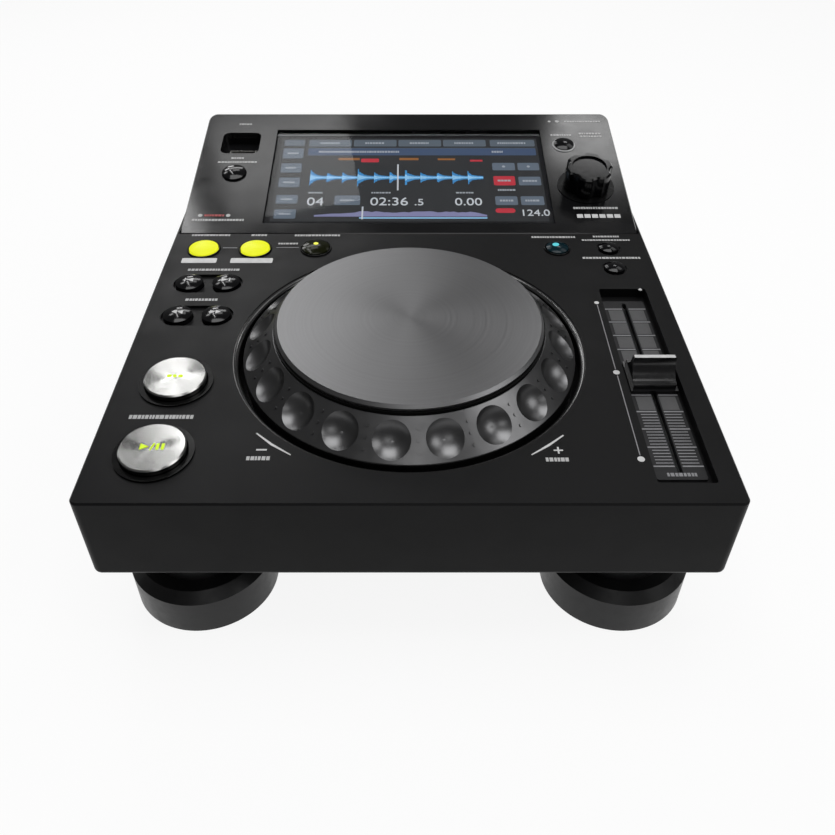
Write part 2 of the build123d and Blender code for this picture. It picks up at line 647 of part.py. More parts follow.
# Bottom case: a flat pan that closes the top case from below, with a low rim inside the walls, bosses for the
# feet and posts for the boards.
with BuildPart() as bottom_case:
    with BuildSketch(Plane.XY.offset(UNDERSIDE)):
        with Locations((0, (WALL + FIT) / 2)):
            Rectangle(2 * (INNER_X - FIT), DEPTH - WALL - FIT)
    extrude(amount=BASE_THICK)
    with BuildSketch(Plane.XY.offset(BASE_TOP)):
        with Locations((0, (WALL + FIT - REAR_BAY) / 2)):
            Rectangle(2 * (INNER_X - FIT), DEPTH - WALL - FIT - REAR_BAY)
            Rectangle(
                2 * (INNER_X - FIT - BASE_RIM),
                DEPTH - WALL - FIT - REAR_BAY - 2 * BASE_RIM,
                mode=Mode.SUBTRACT,
            )
        with Locations((0, REAR_PANEL_Y)):
            Rectangle(WIDTH, 2 * (REAR_PANEL_THICK + REAR_RIB + FIT), mode=Mode.SUBTRACT)
        with Locations(*boss_spots):
            Circle(BOSS_R + FIT, mode=Mode.SUBTRACT)
    extrude(amount=BASE_RIM_HEIGHT)
    with BuildSketch(Plane.XY.offset(BASE_TOP)):
        with Locations(*foot_spots.values()):
            Circle(FOOT_BOSS_R)
    extrude(amount=FOOT_BOSS_HEIGHT)
    with BuildSketch(Plane.XY.offset(UNDERSIDE)):
        with Locations(*foot_spots.values()):
            Circle(FOOT_SCREW_R + SCREW_PLAY)
    extrude(amount=BASE_THICK + FOOT_BOSS_HEIGHT, mode=Mode.SUBTRACT)
    for places, length in ((main_posts, MAIN_BOARD_LIFT), (jack_posts, JACK_BOARD_HEIGHT)):
        with BuildSketch(Plane.XY.offset(BASE_TOP)):
            with Locations(*places):
                Circle(POST_R)
        extrude(amount=length)
        with BuildSketch(Plane.XY.offset(BASE_TOP + length)):
            with Locations(*places):
                Circle(POST_PILOT_R)
        extrude(amount=-SMALL_SCREW_LENGTH, mode=Mode.SUBTRACT)
    with BuildSketch(Plane.XY.offset(UNDERSIDE)):
        with Locations(*boss_spots):
            Circle(SCREW_R + 2 * SCREW_PLAY)
    extrude(amount=BASE_THICK, mode=Mode.SUBTRACT)
    with BuildSketch(Plane.XY.offset(UNDERSIDE)):
        with Locations(*boss_spots):
            Circle(SCREW_HEAD_R + FIT)
    extrude(amount=SCREW_HEAD, mode=Mode.SUBTRACT)
    with BuildSketch(Plane.XY.offset(UNDERSIDE)):
        with Locations((-VENT_X, VENT_Y), (VENT_X, VENT_Y)):
            with GridLocations(VENT_PITCH, 0, VENT_COUNT, 1):
                SlotOverall(VENT_LENGTH, VENT_WIDTH, rotation=90)
    extrude(amount=BASE_THICK, mode=Mode.SUBTRACT)
finish(bottom_case, "bottom_case")

# Rear panel: an upright plate in the bay at the back, with an opening for each socket.
with BuildPart() as rear_panel:
    with BuildSketch(Plane(origin=(0, REAR_PANEL_Y, 0), x_dir=(1, 0, 0), z_dir=(0, -1, 0))):
        with Locations((0, (BASE_TOP + REAR_PANEL_TOP) / 2)):
            Rectangle(2 * (INNER_X - FIT), REAR_PANEL_TOP - BASE_TOP)
        with Locations((LAN_X, JACK_BOARD_TOP + LAN_SIZE[2] / 2)):
            Rectangle(LAN_SIZE[0] + 2 * FIT, LAN_SIZE[2] + 2 * FIT, mode=Mode.SUBTRACT)
        with Locations((USB_B_X, JACK_BOARD_TOP + USB_B_SIZE[2] / 2)):
            Rectangle(USB_B_SIZE[0] + 2 * FIT, USB_B_SIZE[2] + 2 * FIT, mode=Mode.SUBTRACT)
        with Locations((DC_X, JACK_BOARD_TOP + DC_SIZE[2] / 2)):
            Rectangle(DC_SIZE[0] + 2 * FIT, DC_SIZE[2] + 2 * FIT, mode=Mode.SUBTRACT)
        with Locations(*[(x, JACK_BOARD_TOP + RCA_AXIS_HEIGHT) for x in RCA_X]):
            Circle(RCA_COLLAR_R + FIT, mode=Mode.SUBTRACT)
        with Locations((POWER_X, POWER_Z)):
            Rectangle(POWER_SIZE[0] + 2 * FIT, POWER_SIZE[1] + 2 * FIT, mode=Mode.SUBTRACT)
        with Locations((LOCK_X, JACK_BOARD_TOP + RCA_AXIS_HEIGHT)):
            SlotOverall(*LOCK_SLOT, mode=Mode.SUBTRACT)
    extrude(amount=REAR_PANEL_THICK)
finish(rear_panel, "rear_panel")

# ================================================================ feet and case screws

# Each foot is a broad disc with a bevelled shoulder on a narrower neck, screwed up into the bottom case.
for name, (foot_x, foot_y) in foot_spots.items():
    with BuildPart() as foot:
        with BuildSketch(Plane(origin=(foot_x, foot_y, 0), x_dir=(1, 0, 0), z_dir=(0, -1, 0))):
            with BuildLine():
                Polyline(
                    (FOOT_WELL_R, FOOT_LIFT + PAD_THICK),
                    (PAD_R + FIT, FOOT_LIFT + PAD_THICK),
                    (PAD_R + FIT, FOOT_LIFT),
                    (FOOT_R, FOOT_LIFT),
                    (FOOT_R, FOOT_SIDE_TOP),
                    (FOOT_SHOULDER_R, FOOT_TOP),
                    (FOOT_NECK_R, FOOT_TOP),
                    (FOOT_NECK_R, UNDERSIDE),
                    (FOOT_SCREW_R + SCREW_PLAY, UNDERSIDE),
                    (FOOT_SCREW_R + SCREW_PLAY, FOOT_SCREW_SINK + FOOT_SCREW_HEAD),
                    (FOOT_WELL_R, FOOT_SCREW_SINK + FOOT_SCREW_HEAD),
                    close=True,
                )
            make_face()
        revolve(axis=Axis((foot_x, foot_y, 0), (0, 0, 1)))
    finish(foot, name)

# Four rubber pads in the feet, which the player stands on.
with BuildPart() as foot_pads:
    with BuildSketch(Plane.XY):
        with Locations(*foot_spots.values()):
            Circle(PAD_R)
            Circle(PAD_HOLE_R, mode=Mode.SUBTRACT)
    extrude(amount=FOOT_LIFT + PAD_THICK)
    chamfer(foot_pads.faces().sort_by(Axis.Z)[:4].edges(), length=FOOT_LIFT / 2)
finish(foot_pads, "foot_pads")

with BuildPart() as foot_screws:
    with BuildSketch(Plane.XY.offset(FOOT_SCREW_SINK + FOOT_SCREW_HEAD)):
        with Locations(*foot_spots.values()):
            Circle(FOOT_SCREW_R)
    extrude(amount=FOOT_SCREW_LENGTH)
    with BuildSketch(Plane.XY.offset(FOOT_SCREW_SINK)):
        with Locations(*foot_spots.values()):
            Circle(FOOT_SCREW_HEAD_R)
            RegularPolygon(FOOT_SCREW_R, 6, mode=Mode.SUBTRACT)
    extrude(amount=FOOT_SCREW_HEAD)
finish(foot_screws, "foot_screws")

with BuildPart() as case_screws:
    with BuildSketch(Plane.XY.offset(UNDERSIDE + SCREW_HEAD)):
        with Locations(*boss_spots):
            Circle(SCREW_R)
    extrude(amount=SCREW_LENGTH)
    with BuildSketch(Plane.XY.offset(UNDERSIDE + UPPER_EDGE)):
        with Locations(*boss_spots):
            Circle(SCREW_HEAD_R)
            Rectangle(SCREW_R, 2 * SCREW_PLAY + SCREW_R / 3, mode=Mode.SUBTRACT)
            Rectangle(2 * SCREW_PLAY + SCREW_R / 3, SCREW_R, mode=Mode.SUBTRACT)
    extrude(amount=SCREW_HEAD - UPPER_EDGE)
finish(case_screws, "case_screws")

# ================================================================ jog wheel

# Jog dial: a dished ring with round finger dimples on its slope, on a web and a hub.
SLOPE_ANGLE = degrees(asin((DIAL_TOP_HEIGHT - DIAL_EDGE_HEIGHT) / sqrt(
    (DIAL_R - DIAL_TOP_R) ** 2 + (DIAL_TOP_HEIGHT - DIAL_EDGE_HEIGHT) ** 2
)))
SLOPE_R = (DIAL_R + DIAL_TOP_R) / 2
SLOPE_HEIGHT = (DIAL_TOP_HEIGHT + DIAL_EDGE_HEIGHT) / 2
SLOPE_RISE = (DIAL_TOP_HEIGHT - DIAL_EDGE_HEIGHT) / (DIAL_R - DIAL_TOP_R)
SLOPE_DROP = DIAL_SLOPE_THICK / cos(radians(SLOPE_ANGLE))
WEB_BOTTOM = DIAL_WEB_TOP - DIAL_WEB_THICK
UNDER_R = DIAL_TOP_R + (DIAL_TOP_HEIGHT - SLOPE_DROP - WEB_BOTTOM) / SLOPE_RISE
SKIRT_R = DIAL_R - DIAL_WALL
BALL_R = (DIMPLE_R**2 + DIMPLE_SINK**2) / (2 * DIMPLE_SINK)
dimple_angles = [DIMPLE_PHASE + i * 360 / DIMPLE_COUNT for i in range(DIMPLE_COUNT)]


def slope_spot(angle, along=0.0):
    """A plane on the dial's slope at an angle round it, its x axis round the dial and its y axis uphill."""
    out = (jog.x_dir * cos(radians(angle))) + (jog.y_dir * sin(radians(angle)))
    uphill = (jog.z_dir * sin(radians(SLOPE_ANGLE))) - (out * cos(radians(SLOPE_ANGLE)))
    normal = (jog.z_dir * cos(radians(SLOPE_ANGLE))) + (out * sin(radians(SLOPE_ANGLE)))
    centre = jog.origin + out * SLOPE_R + jog.z_dir * SLOPE_HEIGHT + uphill * along
    return Plane(origin=centre, x_dir=uphill.cross(normal), z_dir=normal)


with BuildPart() as jog_dial:
    with BuildSketch(jog_section):
        with BuildLine():
            Polyline(
                (SHAFT_R + RUNNING, BUSH_TOP),
                (DIAL_HUB_R, BUSH_TOP),
                (DIAL_HUB_R, WEB_BOTTOM),
                (UNDER_R, WEB_BOTTOM),
                (SKIRT_R, DIAL_TOP_HEIGHT - SLOPE_DROP - (SKIRT_R - DIAL_TOP_R) * SLOPE_RISE),
                (SKIRT_R, -DIAL_SKIRT),
                (DIAL_R, -DIAL_SKIRT),
                (DIAL_R, DIAL_EDGE_HEIGHT),
                (DIAL_TOP_R, DIAL_TOP_HEIGHT),
                (DIAL_LEDGE_R, DIAL_TOP_HEIGHT),
                (DIAL_LEDGE_R, DIAL_WEB_TOP),
                (SHAFT_R + RUNNING, DIAL_WEB_TOP),
                close=True,
            )
        make_face()
    revolve(axis=jog_axis)
    fillet(jog_dial.edges().filter_by(GeomType.CIRCLE).group_by(SortBy.RADIUS)[-1], radius=DIAL_EDGE)
    with Locations(*[slope_spot(angle).offset(BALL_R - DIMPLE_SINK) for angle in dimple_angles]):
        Sphere(BALL_R, mode=Mode.SUBTRACT)
    with Locations(*[
        slope_spot(angle + 180 / DIMPLE_COUNT, along)
        for angle in dimple_angles
        for along in (-NUB_PITCH, 0, NUB_PITCH)
    ]):
        Cylinder(NUB_R, 2 * NUB_RISE)
finish(jog_dial, "jog_dial")

# Jog rim: the black step between the dial and the plate.
with BuildPart() as jog_rim:
    with BuildSketch(jog.offset(DIAL_TOP_HEIGHT)):
        Circle(RIM_R)
        Circle(RIM_INNER_R, mode=Mode.SUBTRACT)
    extrude(amount=RIM_HEIGHT)
finish(jog_rim, "jog_rim")

# Jog plate: a bevelled metal disc that caps the wheel.
with BuildPart() as jog_plate:
    with BuildSketch(jog.offset(DIAL_TOP_HEIGHT + RIM_HEIGHT)):
        Circle(PLATE_R)
    extrude(amount=PLATE_THICK)
    chamfer(jog_plate.faces().sort_by(panel_up)[-1].edges(), length=PLATE_CHAMFER)
finish(jog_plate, "jog_plate")

# Jog shaft: a flanged steel pin that the dial is seated on, grooved at its lower end for the clip.
CLIP_TOP = BUSH_TOP - BUSH_LENGTH - RUNNING
with BuildPart() as jog_shaft:
    with BuildSketch(jog_section):
        with BuildLine():
            Polyline(
                (0, DIAL_WEB_TOP + SHAFT_FLANGE_THICK),
                (SHAFT_FLANGE_R, DIAL_WEB_TOP + SHAFT_FLANGE_THICK),
                (SHAFT_FLANGE_R, DIAL_WEB_TOP),
                (SHAFT_R, DIAL_WEB_TOP),
                (SHAFT_R, CLIP_TOP),
                (CLIP_GROOVE_R, CLIP_TOP),
                (CLIP_GROOVE_R, CLIP_TOP - CLIP_THICK),
                (SHAFT_R, CLIP_TOP - CLIP_THICK),
                (SHAFT_R, CLIP_TOP - 2 * CLIP_THICK),
                (0, CLIP_TOP - 2 * CLIP_THICK),
                close=True,
            )
        make_face()
    revolve(axis=jog_axis)
finish(jog_shaft, "jog_shaft")

# Jog clip: an open ring in the shaft's groove that stops the wheel from lifting out.
with BuildPart() as jog_clip:
    with BuildSketch(jog.offset(CLIP_TOP)):
        Circle(CLIP_R)
        Circle(CLIP_GROOVE_R, mode=Mode.SUBTRACT)
        with Locations((0, CLIP_R)):
            Rectangle(1.6 * CLIP_GROOVE_R, 2 * CLIP_R - CLIP_GROOVE_R, mode=Mode.SUBTRACT)
    extrude(amount=-CLIP_THICK)
finish(jog_clip, "jog_clip")

# Jog bush: the sintered bearing sleeve in the holder's hub.
with BuildPart() as jog_bush:
    with BuildSketch(jog.offset(BUSH_TOP)):
        Circle(BUSH_R)
        Circle(SHAFT_R + RUNNING, mode=Mode.SUBTRACT)
    extrude(amount=-BUSH_LENGTH)
finish(jog_bush, "jog_bush")

# Jog holder: the plate screwed under the well floor, with the hub that carries the bush.
with BuildPart() as jog_holder:
    with BuildSketch(jog.offset(-WELL_DEPTH - WELL_FLOOR)):
        Circle(HOLDER_R)
        with PolarLocations(HOLDER_SCREW_R, HOLDER_SCREWS):
            Circle(SMALL_SCREW_R + SCREW_PLAY, mode=Mode.SUBTRACT)
    extrude(amount=-HOLDER_THICK)
    with BuildSketch(jog.offset(BUSH_TOP - BUSH_PROUD)):
        Circle(HOLDER_HUB_R)
    extrude(amount=BUSH_PROUD - BUSH_LENGTH)
    with BuildSketch(jog.offset(BUSH_TOP)):
        Circle(BUSH_R)
    extrude(amount=-BUSH_LENGTH, mode=Mode.SUBTRACT)
finish(jog_holder, "jog_holder")

# Jog encoder disc: a slotted disc on a collar that hangs under the dial's web.
with BuildPart() as jog_encoder_disc:
    with BuildSketch(jog.offset(WEB_BOTTOM)):
        Circle(CODE_COLLAR_R)
        Circle(CODE_COLLAR_R - CODE_COLLAR_WALL, mode=Mode.SUBTRACT)
    extrude(amount=CODE_HEIGHT - WEB_BOTTOM)
    with BuildSketch(jog.offset(CODE_HEIGHT)):
        Circle(CODE_R)
        Circle(CODE_COLLAR_R - CODE_COLLAR_WALL, mode=Mode.SUBTRACT)
        with PolarLocations(CODE_R - CODE_SLOT_LENGTH, CODE_SLOTS):
            Rectangle(CODE_SLOT_LENGTH, CODE_SLOT_WIDTH, mode=Mode.SUBTRACT)
    extrude(amount=CODE_THICK)
finish(jog_encoder_disc, "jog_encoder_disc")

# Jog sensor board: a small board on the well floor whose fork reaches over and under the disc's slots.
SENSOR_X = CODE_R + 2 * FIT
SENSOR_LOW = CODE_HEIGHT - 2 * FIT
SENSOR_HIGH = CODE_HEIGHT + CODE_THICK + 2 * FIT
with BuildPart() as jog_sensor_board:
    with BuildSketch(jog.offset(-WELL_DEPTH)):
        with Locations((SENSOR_X, 0)):
            Rectangle(5 * CODE_SLOT_LENGTH, 6 * CODE_SLOT_LENGTH)
    extrude(amount=SENSOR_BOARD_THICK)
    with BuildSketch(jog.offset(SENSOR_BOARD_THICK - WELL_DEPTH)):
        with Locations((SENSOR_X - CODE_SLOT_LENGTH / 2, 0)):
            Rectangle(2 * CODE_SLOT_LENGTH + 4 * SENSOR_ARM, 3 * SENSOR_ARM)
    extrude(amount=SENSOR_HIGH + SENSOR_ARM + WELL_DEPTH - SENSOR_BOARD_THICK)
    with BuildSketch(jog.offset(SENSOR_LOW)):
        with Locations((SENSOR_X - CODE_R / 2, 0)):
            Rectangle(CODE_R, 4 * SENSOR_ARM)
    extrude(amount=SENSOR_HIGH - SENSOR_LOW, mode=Mode.SUBTRACT)
finish(jog_sensor_board, "jog_sensor_board")

# ================================================================ buttons

# Cue and play buttons: flat metal-faced discs, held from below by a flange under their bezels.
SWITCH_TOP = SWITCH_HEIGHT + SWITCH_PLUNGER - PANEL_BOARD_TOP
FLANGE_TOP = -BEZEL_DEPTH - FIT
for name, x, y in TRANSPORT_BUTTONS:
    with BuildPart() as button:
        with BuildSketch(section(panel, x, y)):
            with BuildLine():
                Polyline(
                    (0, SWITCH_TOP + TRANSPORT_TRAVEL + SWITCH_CLEARANCE),
                    (BUTTON_STEM_R, SWITCH_TOP + TRANSPORT_TRAVEL + SWITCH_CLEARANCE),
                    (BUTTON_STEM_R, FLANGE_TOP - BUTTON_FLANGE_THICK),
                    (TRANSPORT_R + BUTTON_FLANGE, FLANGE_TOP - BUTTON_FLANGE_THICK),
                    (TRANSPORT_R + BUTTON_FLANGE, FLANGE_TOP),
                    (TRANSPORT_R, FLANGE_TOP),
                    (TRANSPORT_R, TRANSPORT_TOP - TRANSPORT_BEVEL),
                    (TRANSPORT_R - TRANSPORT_BEVEL, TRANSPORT_TOP),
                    (0, TRANSPORT_TOP),
                    close=True,
                )
            make_face()
        revolve(axis=axis_at(panel, x, y))
    finish(button, name)

# Transport bezels: the two lipped sleeves in the panel that the cue and play buttons slide in.
with BuildPart() as transport_bezels:
    for name, x, y in TRANSPORT_BUTTONS:
        with BuildSketch(spot(panel, x, y)):
            Circle(BEZEL_R)
        extrude(amount=BEZEL_LIP)
        with BuildSketch(spot(panel, x, y)):
            Circle(TRANSPORT_R + FIT + BEZEL_WALL)
        extrude(amount=-BEZEL_DEPTH)
        with BuildSketch(spot(panel, x, y, BEZEL_LIP)):
            Circle(TRANSPORT_R + FIT)
        extrude(amount=-BEZEL_DEPTH - BEZEL_LIP, mode=Mode.SUBTRACT)
finish(transport_bezels, "transport_bezels")

# Small round buttons: domed caps with a flange under the casing and a stem over a switch.
for plane, wall, board_top, buttons in (
    (panel, WALL, PANEL_BOARD_TOP, PANEL_BUTTONS),
    (screen, COVER_WALL, DISPLAY_BOARD_TOP, SCREEN_BUTTONS),
):
    stem_end = SWITCH_HEIGHT + SWITCH_PLUNGER + BUTTON_TRAVEL + SWITCH_CLEARANCE - board_top
    for name, x, y, radius in buttons:
        with BuildPart() as button:
            with BuildSketch(section(plane, x, y)):
                with BuildLine():
                    Polyline(
                        (0, BUTTON_TOP + BUTTON_CROWN),
                        (0, stem_end),
                        (BUTTON_STEM_R, stem_end),
                        (BUTTON_STEM_R, -wall - FIT - BUTTON_FLANGE_THICK),
                        (radius + BUTTON_FLANGE, -wall - FIT - BUTTON_FLANGE_THICK),
                        (radius + BUTTON_FLANGE, -wall - FIT),
                        (radius, -wall - FIT),
                        (radius, BUTTON_TOP),
                    )
                    TangentArc((0, BUTTON_TOP + BUTTON_CROWN), (radius, BUTTON_TOP), tangent=(1, 0))
                make_face()
            revolve(axis=axis_at(plane, x, y))
        finish(button, name)

# ================================================================ rotary selector

# Selector knob: a deep knob with six shallow scallops and a dished top, bored for its shaft.
with BuildPart() as selector_knob:
    with BuildSketch(selector.offset(KNOB_FOOT)):
        Circle(KNOB_R)
        with PolarLocations(KNOB_R - KNOB_SCALLOP_DEPTH + KNOB_SCALLOP_R, KNOB_LOBES, start_angle=KNOB_PHASE):
            Circle(KNOB_SCALLOP_R, mode=Mode.SUBTRACT)
    extrude(amount=KNOB_TOP - KNOB_FOOT)
    chamfer(selector_knob.faces().sort_by(screen_up)[-1].edges(), length=KNOB_EDGE)
    with BuildSketch(selector.offset(KNOB_TOP)):
        Circle(KNOB_DISH_R)
    extrude(amount=-KNOB_DISH, mode=Mode.SUBTRACT)
    with BuildSketch(selector.offset(KNOB_FOOT)):
        Circle(STEM_R)
    extrude(amount=KNOB_TOP - KNOB_ROOF - KNOB_FOOT, mode=Mode.SUBTRACT)
finish(selector_knob, "selector_knob")

# Selector ring: the flat ring on the cover round the knob's foot.
with BuildPart() as selector_ring:
    with BuildSketch(selector):
        Circle(SELECTOR_RING_R)
        Circle(ENCODER_NECK_R + FIT, mode=Mode.SUBTRACT)
    extrude(amount=SELECTOR_RING_THICK)
finish(selector_ring, "selector_ring")

# Selector shaft: a pin with a collar that stands on the slider inside the encoder.
SLIDER_BOTTOM = ENCODER_FLOOR + SELECTOR_TRAVEL - DISPLAY_BOARD_TOP
STEM_BOTTOM = SLIDER_BOTTOM + SLIDER_THICK
with BuildPart() as selector_shaft:
    with BuildSketch(selector.offset(STEM_BOTTOM)):
        Circle(STEM_COLLAR_R)
    extrude(amount=STEM_COLLAR)
    with BuildSketch(selector.offset(STEM_BOTTOM)):
        Circle(STEM_R)
    extrude(amount=KNOB_TOP - KNOB_ROOF - STEM_BOTTOM)
finish(selector_shaft, "selector_shaft")

# Selector slider: the piston under the shaft that closes the push contact.
with BuildPart() as selector_slider:
    with BuildSketch(selector.offset(SLIDER_BOTTOM)):
        Circle(SLIDER_R)
    extrude(amount=SLIDER_THICK)
    chamfer(selector_slider.edges().group_by(screen_up)[0], length=SLIDER_R - STEM_R)
finish(selector_slider, "selector_slider")

# Selector encoder: the square body on the display board, with a threaded neck and a chamber for the collar.
with BuildPart() as selector_encoder:
    with BuildSketch(selector.offset(-DISPLAY_BOARD_TOP)):
        Rectangle(ENCODER_SIZE, ENCODER_SIZE)
    extrude(amount=ENCODER_HEIGHT)
    with BuildSketch(selector.offset(-DISPLAY_BOARD_TOP)):
        Circle(ENCODER_NECK_R)
    extrude(amount=DISPLAY_BOARD_TOP - COVER_WALL - FIT)
    with BuildSketch(selector.offset(ENCODER_FLOOR - DISPLAY_BOARD_TOP)):
        Circle(ENCODER_CHAMBER_R)
    extrude(amount=STEM_BOTTOM + STEM_COLLAR + FIT + DISPLAY_BOARD_TOP - ENCODER_FLOOR, mode=Mode.SUBTRACT)
    with BuildSketch(selector.offset(-COVER_WALL)):
        Circle(STEM_R + RUNNING)
    extrude(amount=STEM_BOTTOM + COVER_WALL, mode=Mode.SUBTRACT)
finish(selector_encoder, "selector_encoder")

# ================================================================ tempo fader

# Fader cap: a ridge between two scooped slopes that end in bevelled lips, on a broad foot, with a socket for
# the lever.
CAP_BOTTOM = SCALE_TOP + FIT
FOOT_TOP_HEIGHT = CAP_BOTTOM + CAP_FOOT_THICK
SCOOP_END = CAP_LENGTH / 2 - CAP_LIP_WIDTH
with BuildPart() as fader_cap:
    with BuildSketch(Plane(origin=fader.origin, x_dir=fader.y_dir, z_dir=fader.x_dir)):
        with BuildLine():
            Polyline(
                (-SCOOP_END, CAP_LIP),
                (CAP_LIP_BEVEL - CAP_LENGTH / 2, CAP_LIP),
                (-CAP_LENGTH / 2, CAP_LIP - CAP_LIP_BEVEL),
                (-CAP_LENGTH / 2, FOOT_TOP_HEIGHT),
                (CAP_LENGTH / 2, FOOT_TOP_HEIGHT),
                (CAP_LENGTH / 2, CAP_LIP - CAP_LIP_BEVEL),
                (CAP_LENGTH / 2 - CAP_LIP_BEVEL, CAP_LIP),
                (SCOOP_END, CAP_LIP),
            )
            SagittaArc((SCOOP_END, CAP_LIP), (CAP_RIDGE_WIDTH / 2, CAP_RIDGE), CAP_SAG)
            Line((CAP_RIDGE_WIDTH / 2, CAP_RIDGE), (-CAP_RIDGE_WIDTH / 2, CAP_RIDGE))
            SagittaArc((-CAP_RIDGE_WIDTH / 2, CAP_RIDGE), (-SCOOP_END, CAP_LIP), CAP_SAG)
        make_face()
    extrude(amount=CAP_WIDTH / 2, both=True)
    with BuildSketch(fader.offset(CAP_BOTTOM)):
        Rectangle(CAP_FOOT_WIDTH, CAP_FOOT_LENGTH)
    extrude(amount=CAP_FOOT_THICK)
    with BuildSketch(fader.offset(CAP_BOTTOM)):
        Rectangle(LEVER_THICK, LEVER_LENGTH)
    extrude(amount=LEVER_TOP - CAP_BOTTOM, mode=Mode.SUBTRACT)
finish(fader_cap, "fader_cap")

# Fader lever: the blade that joins the cap to the carriage in the fader's body.
CARRIAGE_TOP = FADER_BODY_TOP - FADER_BODY_WALL - RUNNING
with BuildPart() as fader_lever:
    with BuildSketch(fader.offset(CARRIAGE_TOP)):
        Rectangle(LEVER_THICK, LEVER_LENGTH)
    extrude(amount=LEVER_TOP - CARRIAGE_TOP)
    with BuildSketch(fader.offset(CARRIAGE_TOP)):
        Rectangle(CARRIAGE_WIDTH, CARRIAGE_LENGTH)
    extrude(amount=-CARRIAGE_HEIGHT)
finish(fader_lever, "fader_lever")

# Fader body: a long case under the recess, with a slot on top and a channel for the carriage.
with BuildPart() as fader_body:
    with BuildSketch(fader.offset(FADER_BODY_TOP)):
        Rectangle(
            FADER_BODY_WIDTH,
            2 * (FADER_TRAVEL + FIT + FADER_BODY_WALL) + CARRIAGE_LENGTH,
        )
    extrude(amount=-PANEL_BOARD_TOP - FADER_BODY_TOP)
    with BuildSketch(fader.offset(FADER_BODY_TOP - FADER_BODY_WALL)):
        Rectangle(CARRIAGE_WIDTH + 2 * RUNNING, 2 * (FADER_TRAVEL + FIT) + CARRIAGE_LENGTH)
    extrude(amount=-CARRIAGE_HEIGHT - 2 * RUNNING, mode=Mode.SUBTRACT)
    with BuildSketch(fader.offset(FADER_BODY_TOP)):
        Rectangle(SLIT_WIDTH, 2 * (FADER_TRAVEL + FIT) + LEVER_LENGTH)
    extrude(amount=-FADER_BODY_WALL, mode=Mode.SUBTRACT)
finish(fader_body, "fader_body")

# Fader scale: the thin plate on the recess's floor, slit for the lever.
with BuildPart() as fader_scale:
    with BuildSketch(fader.offset(-RECESS_DEPTH)):
        RectangleRounded(SCALE_WIDTH, SCALE_LENGTH, RECESS_CORNER_R)
        SlotOverall(
            2 * FADER_TRAVEL + LEVER_LENGTH + 2 * SLIT_WIDTH, SLIT_WIDTH, rotation=90, mode=Mode.SUBTRACT
        )
    extrude(amount=SCALE_THICK)
finish(fader_scale, "fader_scale")

# ================================================================ display

with BuildPart() as touch_glass:
    with BuildSketch(spot(screen, 0, WINDOW_Y, -WINDOW_BACK)):
        Rectangle(WINDOW_WIDTH - 2 * FIT, WINDOW_LENGTH - 2 * FIT)
    extrude(amount=GLASS_THICK)
    chamfer(touch_glass.faces().sort_by(screen_up)[-1].edges(), length=GLASS_THICK / 4)
finish(touch_glass, "touch_glass")

with BuildPart() as lcd_panel:
    with BuildSketch(spot(screen, 0, LCD_Y, -WINDOW_BACK)):
        Rectangle(LCD_WIDTH, LCD_LENGTH)
    extrude(amount=-LCD_THICK)
finish(lcd_panel, "lcd_panel")

# LCD frame: a tray under the panel with four ears screwed to the cover.
with BuildPart() as lcd_frame:
    with BuildSketch(spot(screen, 0, LCD_Y, -WINDOW_BACK)):
        Rectangle(LCD_WIDTH + 2 * FRAME_WALL + 2 * FIT, LCD_LENGTH + 2 * FRAME_WALL + 2 * FIT)
    extrude(amount=-LCD_THICK - FRAME_WALL)
    with BuildSketch(spot(screen, 0, LCD_Y, -WINDOW_BACK)):
        Rectangle(LCD_WIDTH + 2 * FIT, LCD_LENGTH + 2 * FIT)
    extrude(amount=-LCD_THICK, mode=Mode.SUBTRACT)
    with BuildSketch(spot(screen, 0, 0, -LCD_BACK)):
        with Locations(*ear_spots):
            Rectangle(FRAME_EAR, FRAME_EAR)
        with Locations(*ear_spots):
            Circle(SMALL_SCREW_R + SCREW_PLAY, mode=Mode.SUBTRACT)
    extrude(amount=-FRAME_WALL)
finish(lcd_frame, "lcd_frame")

# ================================================================ boards

# Display board: under the display, cut out for the upright USB socket.
with BuildPart() as display_board:
    with BuildSketch(spot(screen, 0, 0, -DISPLAY_BOARD_TOP)):
        with Locations((0, DISPLAY_BOARD_Y)):
            Rectangle(DISPLAY_BOARD_WIDTH, DISPLAY_BOARD_LENGTH)
        with Locations((POCKET_X, POCKET_Y)):
            Rectangle(USB_A_SIZE[0] + 2 * FIT, USB_A_SIZE[1] + 2 * FIT, mode=Mode.SUBTRACT)
        with Locations(*SCREEN_POSTS):
            Circle(SMALL_SCREW_R + SCREW_PLAY, mode=Mode.SUBTRACT)
    extrude(amount=-BOARD_THICK)
    for x, y, width, length, height in SCREEN_CHIPS:
        with BuildSketch(spot(screen, x, y, -DISPLAY_BOARD_TOP - BOARD_THICK)):
            Rectangle(width, length)
        extrude(amount=-height)
finish(display_board, "display_board")

# Panel board: a horseshoe round the jog well that carries the switches and the fader.
with BuildPart() as panel_board:
    with BuildSketch(spot(panel, 0, 0, -PANEL_BOARD_TOP)):
        with Locations((0, (PANEL_BOARD_START + PANEL_BOARD_END) / 2)):
            Rectangle(PANEL_BOARD_WIDTH, PANEL_BOARD_END - PANEL_BOARD_START)
        with Locations((0, JOG_Y)):
            Circle(WELL_R + WELL_WALL + PANEL_BOARD_GAP, mode=Mode.SUBTRACT)
        with Locations((0, PANEL_BOARD_START)):
            Rectangle(PANEL_BOARD_MOUTH, JOG_Y - WELL_MOUTH_R, mode=Mode.SUBTRACT)
        with Locations(*PANEL_POSTS):
            Circle(SMALL_SCREW_R + SCREW_PLAY, mode=Mode.SUBTRACT)
    extrude(amount=-BOARD_THICK)
    for x, y, width, length, height in PANEL_CHIPS:
        with BuildSketch(spot(panel, x, y, -PANEL_BOARD_TOP - BOARD_THICK)):
            Rectangle(width, length)
        extrude(amount=-height)
finish(panel_board, "panel_board")

